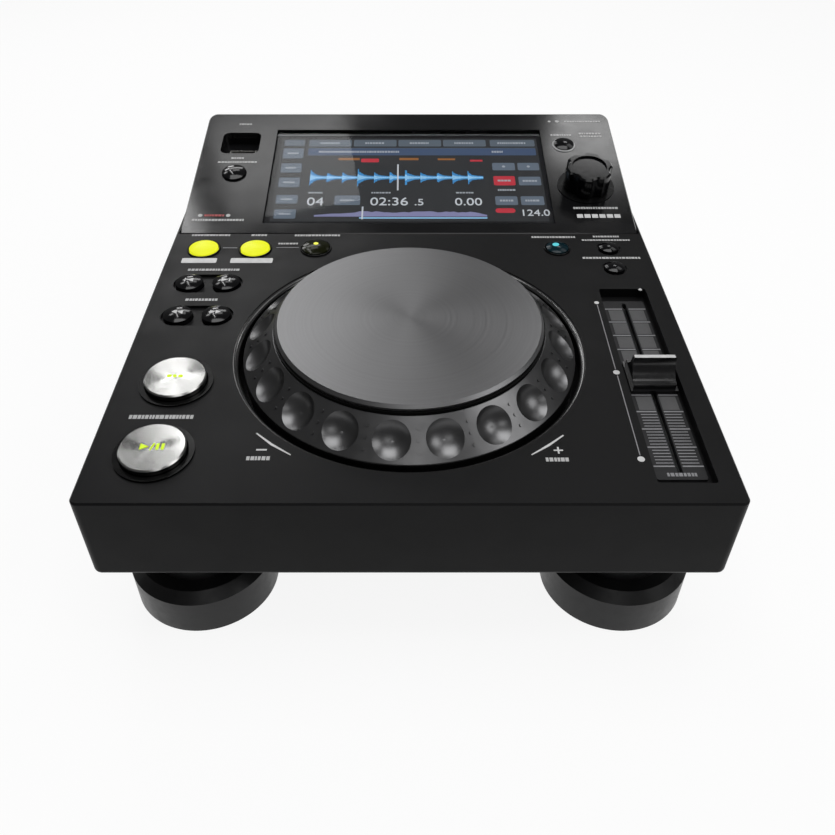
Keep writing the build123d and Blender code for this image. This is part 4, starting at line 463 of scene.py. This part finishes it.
# ---------------------------------------------------------------- the CAD's nodes and their materials
NODE_LOOKS = {
    "panel": "top_case",
    "cover": "display_cover",
    "base": "bottom_case",
    "rear": "rear_panel",
    "foot": "foot_front_left foot_front_right foot_rear_left foot_rear_right",
    "pad": "foot_pads",
    "screw": "foot_screws board_screws",
    "screw_dark": "case_screws",
    "dial": "jog_dial",
    "rim": "jog_rim",
    "plate": "jog_plate",
    "steel": "jog_shaft jog_clip selector_shaft fader_lever",
    "bronze": "jog_bush",
    "sheet": "jog_holder lcd_frame main_shield fader_body",
    "film": "jog_encoder_disc",
    "cue": "cue_button",
    "play": "play_button",
    "cap": "track_back_button track_forward_button search_back_button search_forward_button "
           "tempo_range_button master_tempo_button usb_stop_button back_button",
    "yellow": "loop_in_button loop_out_button",
    "amber": "reloop_button",
    "teal": "vinyl_mode_button",
    "bezel": "transport_bezels",
    "knob": "selector_knob",
    "ring": "selector_ring",
    "fader": "fader_cap",
    "scale": "fader_scale",
    "inner": "selector_slider selector_encoder tact_switches jog_sensor_board",
    "board": "display_board panel_board main_board jack_board",
    "shell": "usb_a_jack usb_b_jack lan_jack",
    "socket": "dc_jack power_button",
    "plated": "rca_jacks",
    "glass": "touch_glass",
    "screen": "lcd_panel",
}
for look, names in NODE_LOOKS.items():
    for name in names.split():
        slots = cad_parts[name].data.materials
        slots.clear()
        slots.append(mat[look])

# ---------------------------------------------------------------- prints on the main panel
# Each label is a row of dashes from x to x, at a y and of a height.
PANEL_LABELS = (
    (-102.0, -84.0, 167.2, 1.5),
    (-74.0, -66.5, 167.2, 1.5),
    (-53.6, -32.4, 167.0, 1.5),
    (-60.5, -51.0, 159.6, 1.3),
    (-98.0, -75.0, 137.4, 1.6),
    (-94.5, -81.0, 114.2, 1.6),
    (57.5, 77.9, 165.4, 1.5),
    (86.4, 98.5, 165.9, 1.4),
    (80.7, 103.0, 162.7, 1.2),
    (78.6, 105.1, 147.2, 1.5),
    (-100.0, -76.8, 41.2, 2.0),
    (-55.2, -47.0, 20.6, 1.8),
    (46.0, 54.2, 20.0, 1.8),
)
# Two blocks below the loop buttons.
LABEL_BLOCKS = [rounded(-102.4, -86.6, 143.0, 147.0, 0.6), rounded(-80.4, -61.4, 143.0, 147.0, 0.6)]
# A bent line with a minus or a plus under it, at each near corner of the jog wheel.
TURN_MARKS = [
    stroke(-53.4, 32.8, -47.4, 27.2, 0.5, 0.9),
    stroke(-47.4, 27.2, -40.4, 22.2, 0.9, 0.4),
    stroke(53.6, 31.8, 47.8, 26.8, 0.5, 0.9),
    stroke(47.8, 26.8, 41.4, 22.2, 0.9, 0.4),
    rect(-52.4, -48.8, 24.3, 25.0),
    rect(49.2, 52.4, 24.1, 24.7),
    rect(50.5, 51.1, 22.8, 26.0),
]
# Dots and the line between them, left of the tempo fader.
TEMPO_DOTS = [disc(78.9, 112.0, 1.0), disc(78.55, 66.1, 1.25), disc(78.2, 20.2, 1.25)]
TEMPO_LINES = [stroke(78.9, 110.4, 78.55, 68.0, 0.35), stroke(78.55, 64.2, 78.2, 22.0, 0.35)]
# Lines from one loop button to the next.
LOOP_LINES = [rect(-85.6, -79.0, 155.6, 156.1), rect(-61.0, -50.6, 155.9, 156.3)]

printed("panel_labels", PANEL, dash_rows(PANEL_LABELS, 1), "label")
printed("panel_print", PANEL, LABEL_BLOCKS + TURN_MARKS + TEMPO_DOTS, "print")
printed("panel_lines", PANEL, TEMPO_LINES + LOOP_LINES, "print_grey")

# ---------------------------------------------------------------- flared lip of the jog well
WELL_LIP = [(69.0, -0.2), (68.9, -0.12), (67.0, -1.45), (66.7, -2.0), (67.0, -2.7), (69.0, -3.4)]

lathe("well_lip", PANEL, *JOG, WELL_LIP, "lip", "panel_black", steps=160)

# ---------------------------------------------------------------- tempo scale and the line on the fader's cap
SCALE_START = 20.0
SCALE_STEP = 9.2
SCALE_STEPS = 10
FINE_STEPS = 3
FINE_PARTS = 6
TICK_HALF, FINE_TICK_HALF = 0.3, 0.2
LONG_COLUMNS = ((83.0, 90.2), (92.9, 100.1))
SHORT_COLUMNS = ((84.2, 90.2), (92.9, 99.0))
BLOCK_SPAN = (0.9, 8.3)
FADER_LINE = (15.2, 1.7, 0.3)


def in_columns(columns, y0, y1):
    """The same mark on both sides of the fader's slot."""
    return [rect(x0, x1, y0, y1) for x0, x1 in columns]


def tempo_scale():
    """Long ticks at each step, with short ticks between the nearest four and blocks between the others."""
    ticks = []
    blocks = []
    for i in range(SCALE_STEPS + 1):
        y = SCALE_START + SCALE_STEP * i
        ticks += in_columns(LONG_COLUMNS, y - TICK_HALF, y + TICK_HALF)
    for i in range(SCALE_STEPS):
        y = SCALE_START + SCALE_STEP * i
        if i >= FINE_STEPS:
            blocks += in_columns(SHORT_COLUMNS, y + BLOCK_SPAN[0], y + BLOCK_SPAN[1])
            continue
        for k in range(1, FINE_PARTS):
            fine = y + SCALE_STEP * k / FINE_PARTS
            ticks += in_columns(SHORT_COLUMNS, fine - FINE_TICK_HALF, fine + FINE_TICK_HALF)
    label = dashes(86.8, 96.8, 16.1, 1.6, seed=14)
    printed("scale_ticks", PANEL, ticks, "print_grey", h=SCALE_TOP)
    printed("scale_label", PANEL, label, "print_grey", h=SCALE_TOP)
    printed("scale_blocks", PANEL, blocks, "scale_block", h=SCALE_TOP)


def fader_line():
    x, y = FADER
    width, height, corner = FADER_LINE
    line = rounded(x - width / 2, x + width / 2, y - height / 2, y + height / 2, corner)
    printed("fader_line", PANEL, [line], "print", "tempo_fader", h=FADER_TOP)


tempo_scale()
fader_line()

# ---------------------------------------------------------------- rings, lamps and signs on the buttons
RINGED = ("loop_in", "loop_out", "reloop", "vinyl")
# A ring's section, as distance from the cap and height.
RING = ((0.35, -0.5), (0.35, 0.45), (0.6, 0.7), (0.9, 0.6), (1.08, 0.1), (1.08, -0.5))
# The bars of a sign, from x to x, and its arrows, as foot and width, both from the button's centre.
SIGNS = {
    "track_back": ([(-1.9, -1.4)], [(1.9, -2.9)]),
    "track_forward": ([(1.4, 1.9)], [(-1.9, 2.9)]),
    "search_back": ([], [(0.0, -2.2), (2.4, -2.2)]),
    "search_forward": ([], [(0.0, 2.2), (-2.4, 2.2)]),
}
SIGN_HEIGHT = 2.6
# Thick enough that no part of a sign or lamp sinks in the button's top.
SIGN_THICK = 0.16
LAMP_THICK = 0.14
CUE_SIGN = [rounded(x0, x1, 59.5, 60.9, 0.4) for x0, x1 in ((-89.9, -88.2), (-87.7, -86.3), (-85.8, -84.1))]
PLAY_SIGN = [
    arrow(-91.0, 23.0, 2.8, 2.8),
    stroke(-87.4, 21.4, -86.4, 24.6, 0.5),
    rect(-85.6, -84.6, 21.6, 24.4),
    rect(-83.8, -82.8, 21.6, 24.4),
]
RELOOP_LAMP = [disc(-42.7, 156.6, 1.1)]
VINYL_LAMP = [disc(67.4, 155.8, 1.5)]
RECESS_LAMP = [(0.05, 0.5), (0.5, 0.4), (0.8, 0.15), (0.85, 0.0), (0.05, 0.0)]
RECESS_LAMP_PLACE = (99.2, 121.6)


def dome(button):
    """The height of a button's domed top over a place."""
    cx, cy, r = BUTTONS[button]
    big = (r * r + CAP_CROWN * CAP_CROWN) / (2 * CAP_CROWN)
    return lambda x, y: CAP_EDGE + CAP_CROWN - big + math.sqrt(big * big - (x - cx) ** 2 - (y - cy) ** 2)


def button_rings():
    for name in RINGED:
        x, y, r = BUTTONS[name]
        lathe(name + "_ring", PANEL, x, y, [(r + out, h) for out, h in RING], "bezel", "bezel_black")


def button_signs():
    for name, (bars, arrows) in SIGNS.items():
        x, y, r = BUTTONS[name]
        marks = [rect(x + x0, x + x1, y - SIGN_HEIGHT / 2, y + SIGN_HEIGHT / 2) for x0, x1 in bars]
        marks += [arrow(x + foot, y, width, SIGN_HEIGHT) for foot, width in arrows]
        printed(name + "_sign", PANEL, marks, "print", name, thick=SIGN_THICK, lift=dome(name))


button_rings()
button_signs()
printed("reloop_lamp", PANEL, RELOOP_LAMP, "glow_yellow", "reloop",
        thick=LAMP_THICK, lift=dome("reloop"))
printed("vinyl_lamp", PANEL, VINYL_LAMP, "glow_teal", "vinyl_mode",
        thick=SIGN_THICK, lift=dome("vinyl"))
printed("cue_sign", PANEL, CUE_SIGN, "glow_green", "cue",
        h=TRANSPORT_TOP, thick=LAMP_THICK)
printed("play_sign", PANEL, PLAY_SIGN, "glow_green", "play",
        h=TRANSPORT_TOP, thick=LAMP_THICK)
lathe("recess_lamp", PANEL, *RECESS_LAMP_PLACE, RECESS_LAMP, "print", "panel_black", steps=24)

# ---------------------------------------------------------------- prints on the display section
SCREEN_LABELS = (
    (-91.0, -84.5, 90.0, 1.3),
    (-91.5, -85.0, 59.6, 1.3),
    (-98.0, -78.0, 56.2, 1.3),
    (-104.0, -79.0, 10.2, 1.5),
    (75.4, 87.0, 80.0, 1.4),
    (90.5, 102.0, 81.4, 1.4),
    (91.0, 102.5, 78.8, 1.2),
    (80.0, 101.5, 19.2, 1.5),
    (84.0, 104.0, 92.6, 1.2),
)
SCREEN_DOTS = [disc(-100.5, 13.6, 1.1), disc(-87.0, 13.6, 1.1), disc(76.0, 92.6, 0.8), disc(80.2, 92.6, 1.1)]
SCREEN_BLOCKS = [rect(81.0 + 3.6 * i, 83.9 + 3.6 * i, 11.8, 14.5) for i in range(6)]
SCREEN_RED = dashes(-98.5, -89.0, 13.6, 1.4, seed=30)
BACK_BUTTON = (81.3, 71.0)
BACK_RING = [(4.9, -0.4), (4.9, 0.25), (5.15, 0.4), (5.75, 0.4), (6.0, 0.2), (6.0, -0.4)]

printed("screen_labels", SCREEN, dash_rows(SCREEN_LABELS, 21) + SCREEN_DOTS, "label")
printed("screen_blocks", SCREEN, SCREEN_BLOCKS, "print")
printed("screen_red", SCREEN, SCREEN_RED, "print_red")
lathe("back_ring", SCREEN, *BACK_BUTTON, BACK_RING, "ring_pale", "ring_black")

# ---------------------------------------------------------------- picture on the display
# Its layers from the lowest to the highest. All stand on the LCD, and each is thicker than the one before.
LAYERS = ("ui_back", "ui_bar", "ui_tab", "ui_key", "ui_blue", "ui_lilac", "ui_orange", "ui_red", "ui_pale",
          "ui_label", "ui_white")
LAYER_THICK = 0.03
LAYER_STEP = 0.02
DIGITS_THICK = 0.26
PICTURE = (-67.2, 67.8, 11.4, 79.4)
KEY_CORNER = 0.8
TABS = 4
TAB_STEP = 23.6
TAB_WIDTH = 22.6
TAB_Y = (72.4, 78.2)
TAB_LABEL_X = (6, 16)
TAB_LABEL_Y = 75.3
LABEL_HEIGHT = 1.3
BAR_X = (-52.6, 66.6)
BAR_Y = (64.6, 70.6)
BAR_EDGE_Y = (70.7, 71.1)
LEFT_KEY_X = (-65.6, -55.0)
LEFT_KEY_LABEL_X = (-63.2, -57.6)
LEFT_KEYS_Y = ((62.0, 70.6), (50.0, 57.6), (38.0, 45.6), (25.0, 31.6), (13.5, 20.4))
OTHER_KEYS = (
    (43.0, 54.6, 51.8, 58.0),
    (56.0, 67.0, 51.8, 58.0),
    (55.6, 66.8, 39.4, 46.4),
    (42.8, 53.8, 23.8, 30.6),
    (55.4, 66.8, 23.8, 30.6),
    (-36.7, -24.0, 23.8, 31.2),
)
KEY_DOTS = ((48.8, 54.9), (61.5, 54.9))
TOP_LABELS = ((47.0, 62.0, TAB_LABEL_Y, LABEL_HEIGHT), (-47.0, -5.0, 67.6, 1.5), (43.5, 50.0, 67.6, 1.5))
OTHER_LABELS = (
    (57.6, 64.8, 42.9, 1.3),
    (44.6, 53.6, 35.6, 1.2),
    (45.0, 51.6, 27.2, 1.3),
    (57.6, 64.8, 27.2, 1.3),
    (45.0, 51.8, 43.1, 1.3),
    (-34.0, -27.0, 27.4, 1.3),
    (-50.0, -43.0, 33.4, 1.0),
    (-18.6, -9.0, 33.4, 1.0),
    (23.6, 33.0, 33.4, 1.0),
)
# The wave's lines stand about WAVE_Y. They rise at every beat, more at the first of three, and fade after it.
WAVE_X = (-50.0, 37.6)
WAVE_Y = 45.7
WAVE_STEP = 0.56
WAVE_LINE = 0.42
WAVE_LOW = 1.1
WAVE_CORE = 0.4
UNEVEN = (0.6, 1.0)
BEAT = 8.0
BEAT_FADE = 2.1
BEATS = (7.0, 4.4, 4.4)
# The strip's upper edge swells from one end to the other, less along the fade at each end.
STRIP_X = (-46.0, 38.0)
STRIP_Y = 15.0
STRIP_EDGE = 1.0
STRIP_STEP = 2.0
STRIP_SWELL = 3.0
STRIP_ENDS = (-47.0, 39.0)
STRIP_FADES = (23.0, 9.0)
STRIP_LINE = (-24.0, 38.0, 13.6, 14.2)
# The text, the lower left corner and the size of each number.
NUMBERS = (
    ("04", -50.4, 23.6, 8.6),
    ("02:36", -19.2, 23.6, 8.6),
    (".5", 2.6, 23.6, 7.0),
    ("0.00", 22.6, 23.6, 8.0),
    ("124.0", 54.2, 15.6, 6.6),
)


def key_shape(x0, x1, y0, y1):
    return rounded(x0, x1, y0, y1, KEY_CORNER)


def draw_bars(layers):
    """The row of tabs along the top, and the bar under it."""
    for i in range(TABS):
        x = BAR_X[0] + TAB_STEP * i
        layers["ui_tab"].append(key_shape(x, x + TAB_WIDTH, *TAB_Y))
        x0, x1 = (x + inset for inset in TAB_LABEL_X)
        layers["ui_label"] += dashes(x0, x1, TAB_LABEL_Y, LABEL_HEIGHT, seed=40 + i)
    layers["ui_tab"] += [key_shape(43.0, BAR_X[1], *TAB_Y), rect(*BAR_X, *BAR_EDGE_Y)]
    layers["ui_bar"].append(rounded(*BAR_X, *BAR_Y, 0.5))
    layers["ui_label"] += dash_rows(TOP_LABELS, 45)


def draw_keys(layers):
    """The keys down the left and right sides and in the middle, and the labels on and between them."""
    layers["ui_tab"].append(key_shape(*LEFT_KEY_X, 73.0, 78.2))
    for y0, y1 in LEFT_KEYS_Y:
        layers["ui_key"].append(key_shape(*LEFT_KEY_X, y0, y1))
        layers["ui_label"] += dashes(*LEFT_KEY_LABEL_X, (y0 + y1) / 2, LABEL_HEIGHT, seed=int(y0))
    layers["ui_key"] += [key_shape(*place) for place in OTHER_KEYS]
    layers["ui_label"] += [disc(x, y, 0.8, steps=12) for x, y in KEY_DOTS]
    layers["ui_label"] += dash_rows(OTHER_LABELS, 48)


def draw_marks(layers):
    """Red and orange marks, and the two white lines that show the place in the wave and in the strip."""
    layers["ui_red"] += [
        key_shape(43.0, 53.8, 39.4, 46.8),
        rounded(42.4, 52.0, 17.8, 21.2, 1.5),
        rounded(-24.6, -15.4, 58.6, 61.6, 0.6),
        rect(31.8, 38.2, 59.2, 60.6),
    ]
    layers["ui_orange"] += [
        rect(-36.4, -25.4, 60.4, 62.2),
        rect(-4.8, 5.1, 60.4, 62.2),
        rect(15.1, 24.1, 60.4, 61.8),
    ]
    layers["ui_white"] += [rect(-5.9, -5.1, 35.4, 56.6), rect(-23.0, -22.2, 13.0, 22.4)]


def draw_wave(layers, rng):
    """The sound's wave: upright blue lines, each with a pale core."""
    start, end = WAVE_X
    x = start
    while x < end:
        beats, since = int((x - start) / BEAT), (x - start) % BEAT
        rise = BEATS[beats % len(BEATS)] * math.exp(-since / BEAT_FADE)
        tall = WAVE_LOW + rise * rng.uniform(*UNEVEN)
        core = tall * WAVE_CORE
        layers["ui_blue"].append(rect(x, x + WAVE_LINE, WAVE_Y - tall, WAVE_Y + tall))
        layers["ui_pale"].append(rect(x, x + WAVE_LINE, WAVE_Y - core, WAVE_Y + core))
        x += WAVE_STEP


def draw_strip(layers, rng):
    """The strip of the whole track: an uneven lilac band that swells and sinks, over a pale line."""
    start, end = STRIP_X
    band = [(start, STRIP_Y), (end, STRIP_Y)]
    for i in range(int((end - start) / STRIP_STEP) + 1):
        x = end - STRIP_STEP * i
        fade = min(1.0, (x - STRIP_ENDS[0]) / STRIP_FADES[0], (STRIP_ENDS[1] - x) / STRIP_FADES[1])
        swell = STRIP_SWELL * rng.uniform(*UNEVEN) * fade
        band.append((x, STRIP_Y + STRIP_EDGE + swell))
    layers["ui_lilac"].append(band)
    layers["ui_pale"].append(rect(*STRIP_LINE))


def display_picture():
    """A generic picture in layers on the LCD: keys, dashes, a wave, the track's strip and plain numbers."""
    layers = {look: [] for look in LAYERS}
    layers["ui_back"].append(rect(*PICTURE))
    draw_bars(layers)
    draw_keys(layers)
    draw_marks(layers)
    rng = random.Random(7)
    draw_wave(layers, rng)
    draw_strip(layers, rng)
    for level, (look, shapes) in enumerate(layers.items()):
        thick = LAYER_THICK + LAYER_STEP * level
        printed("display_" + look, SCREEN, shapes, look, h=LCD_TOP, thick=thick)
    for i, number in enumerate(NUMBERS, start=1):
        digits(f"display_digits_{i}", SCREEN, *number, "ui_white", "screen", LCD_TOP, DIGITS_THICK)


display_picture()

# ---------------------------------------------------------------- stage
FLOOR_SIZE = 8.0
FLOOR_COLOUR = (0.86, 0.86, 0.86, 1)
FLOOR_GLOW = 0.9
WORLD_STRENGTH = 0.13


def sight(tree):
    """One for the rays of the camera, of reflections and of glass, and zero for those that bring light."""
    path = add_node(tree, "ShaderNodeLightPath")
    seen = path.outputs["Is Camera Ray"]
    for extra in ("Is Glossy Ray", "Is Transmission Ray"):
        inputs = {0: seen, 1: path.outputs[extra]}
        seen = add_node(tree, "ShaderNodeMath", inputs, operation="MAXIMUM").outputs["Value"]
    return seen


def backdrop(name):
    """A pale material that shows nearly white to the camera and in reflections, and keeps shadows."""
    material = bpy.data.materials.new(name)
    tree = emptied_tree(material)
    part = add_node(tree, "ShaderNodeMath", {0: sight(tree), 1: FLOOR_GLOW}, operation="MULTIPLY")
    matt = add_node(tree, "ShaderNodeBsdfDiffuse", {"Color": FLOOR_COLOUR})
    glow = add_node(tree, "ShaderNodeEmission")
    inputs = {"Fac": part.outputs["Value"], 1: matt.outputs["BSDF"], 2: glow.outputs["Emission"]}
    mix = add_node(tree, "ShaderNodeMixShader", inputs)
    add_node(tree, "ShaderNodeOutputMaterial", {"Surface": mix.outputs["Shader"]})
    return material


def lay_floor():
    bm = bmesh.new()
    half = FLOOR_SIZE / 2
    bm.faces.new([bm.verts.new((x, y, 0)) for x, y in rect(-half, half, -half, half)])
    floor = add_object("floor", bm, backdrop("floor_white"))


def light_world():
    world = bpy.data.worlds.new("studio")
    bpy.context.scene.world = world
    tree = emptied_tree(world)
    sky = add_node(tree, "ShaderNodeBackground", {"Color": (1, 1, 1, 1), "Strength": WORLD_STRENGTH})
    add_node(tree, "ShaderNodeOutputWorld", {"Surface": sky.outputs["Background"]})


lay_floor()
light_world()

# ---------------------------------------------------------------- lights
NEAR_RIGHT_OF_JOG = (0.067, -0.06, 0.075)
# Each lamp's name, place, target, width and height, and power. The first three light the whole object. The
# others are behind it, and show in what is glossy.
LAMPS = (
    ("key", (1.0, -0.4, 0.95), (0, 0, 0.05), (0.7, 0.6), 4.2),
    ("front", (0.1, -1.0, 1.1), (0, 0, 0.05), (0.6, 0.3), 1.3),
    ("top", (0.0, 0.05, 1.2), (0, 0.05, 0.05), (0.9, 0.8), 9.0),
    ("back", (-0.256, 1.047, 0.78), (-0.05, 0.08, 0.1), (0.42, 0.19), 1.0),
    ("back_high", (-0.235, 0.885, 0.99), (-0.06, 0.1, 0.1), (0.26, 0.18), 0.45),
    ("back_right", (0.336, 0.857, 0.883), (0.09, 0.0, 0.08), (0.15, 0.12), 0.34),
    ("streak", (-0.36, 0.62, 0.9), (-0.09, -0.05, 0.08), (0.025, 0.4), 0.45),
    ("back_side", (0.52, 0.48, 0.88), (0.08, -0.12, 0.075), (0.3, 0.3), 0.4),
    ("back_low_1", (-0.32, 0.80, 0.37), NEAR_RIGHT_OF_JOG, (0.1, 0.08), 0.18),
    ("back_low_2", (-0.395, 0.67, 0.51), NEAR_RIGHT_OF_JOG, (0.1, 0.08), 0.24),
    ("back_low_3", (-0.46, 0.53, 0.65), NEAR_RIGHT_OF_JOG, (0.1, 0.08), 0.15),
)


def softbox(name, place, target, size, power):
    light = bpy.data.lights.new(name, "AREA")
    light.shape = "RECTANGLE"
    light.size, light.size_y = size
    light.energy = power
    lamp = bpy.data.objects.new(name, light)
    lamp.location = place
    lamp.rotation_euler = (Vector(target) - Vector(place)).to_track_quat("-Z", "Y").to_euler()
    bpy.context.scene.collection.objects.link(lamp)


for lamp in LAMPS:
    softbox(*lamp)

# ---------------------------------------------------------------- camera
# The photograph's size, focal length and optical centre are in its pixels.
PHOTO_SIZE = 835
PHOTO_FOCAL = 811.68
PHOTO_CENTRE_X = 406.95
SENSOR = 36.0
CAMERA_PLACE = (-0.00089, -0.33154, 0.26036)
CAMERA_DROP = 39.99


def place_camera():
    """The photograph's camera, as its perspective gave it."""
    data = bpy.data.cameras.new("camera")
    data.sensor_width = SENSOR
    data.sensor_fit = "HORIZONTAL"
    data.lens = PHOTO_FOCAL / PHOTO_SIZE * SENSOR
    data.shift_x = (PHOTO_SIZE / 2 - PHOTO_CENTRE_X) / PHOTO_SIZE
    data.clip_start = 0.01
    camera = bpy.data.objects.new("camera", data)
    camera.location = CAMERA_PLACE
    camera.rotation_euler = (math.radians(90 - CAMERA_DROP), 0, 0)
    bpy.context.scene.collection.objects.link(camera)
    bpy.context.scene.camera = camera


place_camera()
bpy.context.scene.view_settings.view_transform = "Standard"
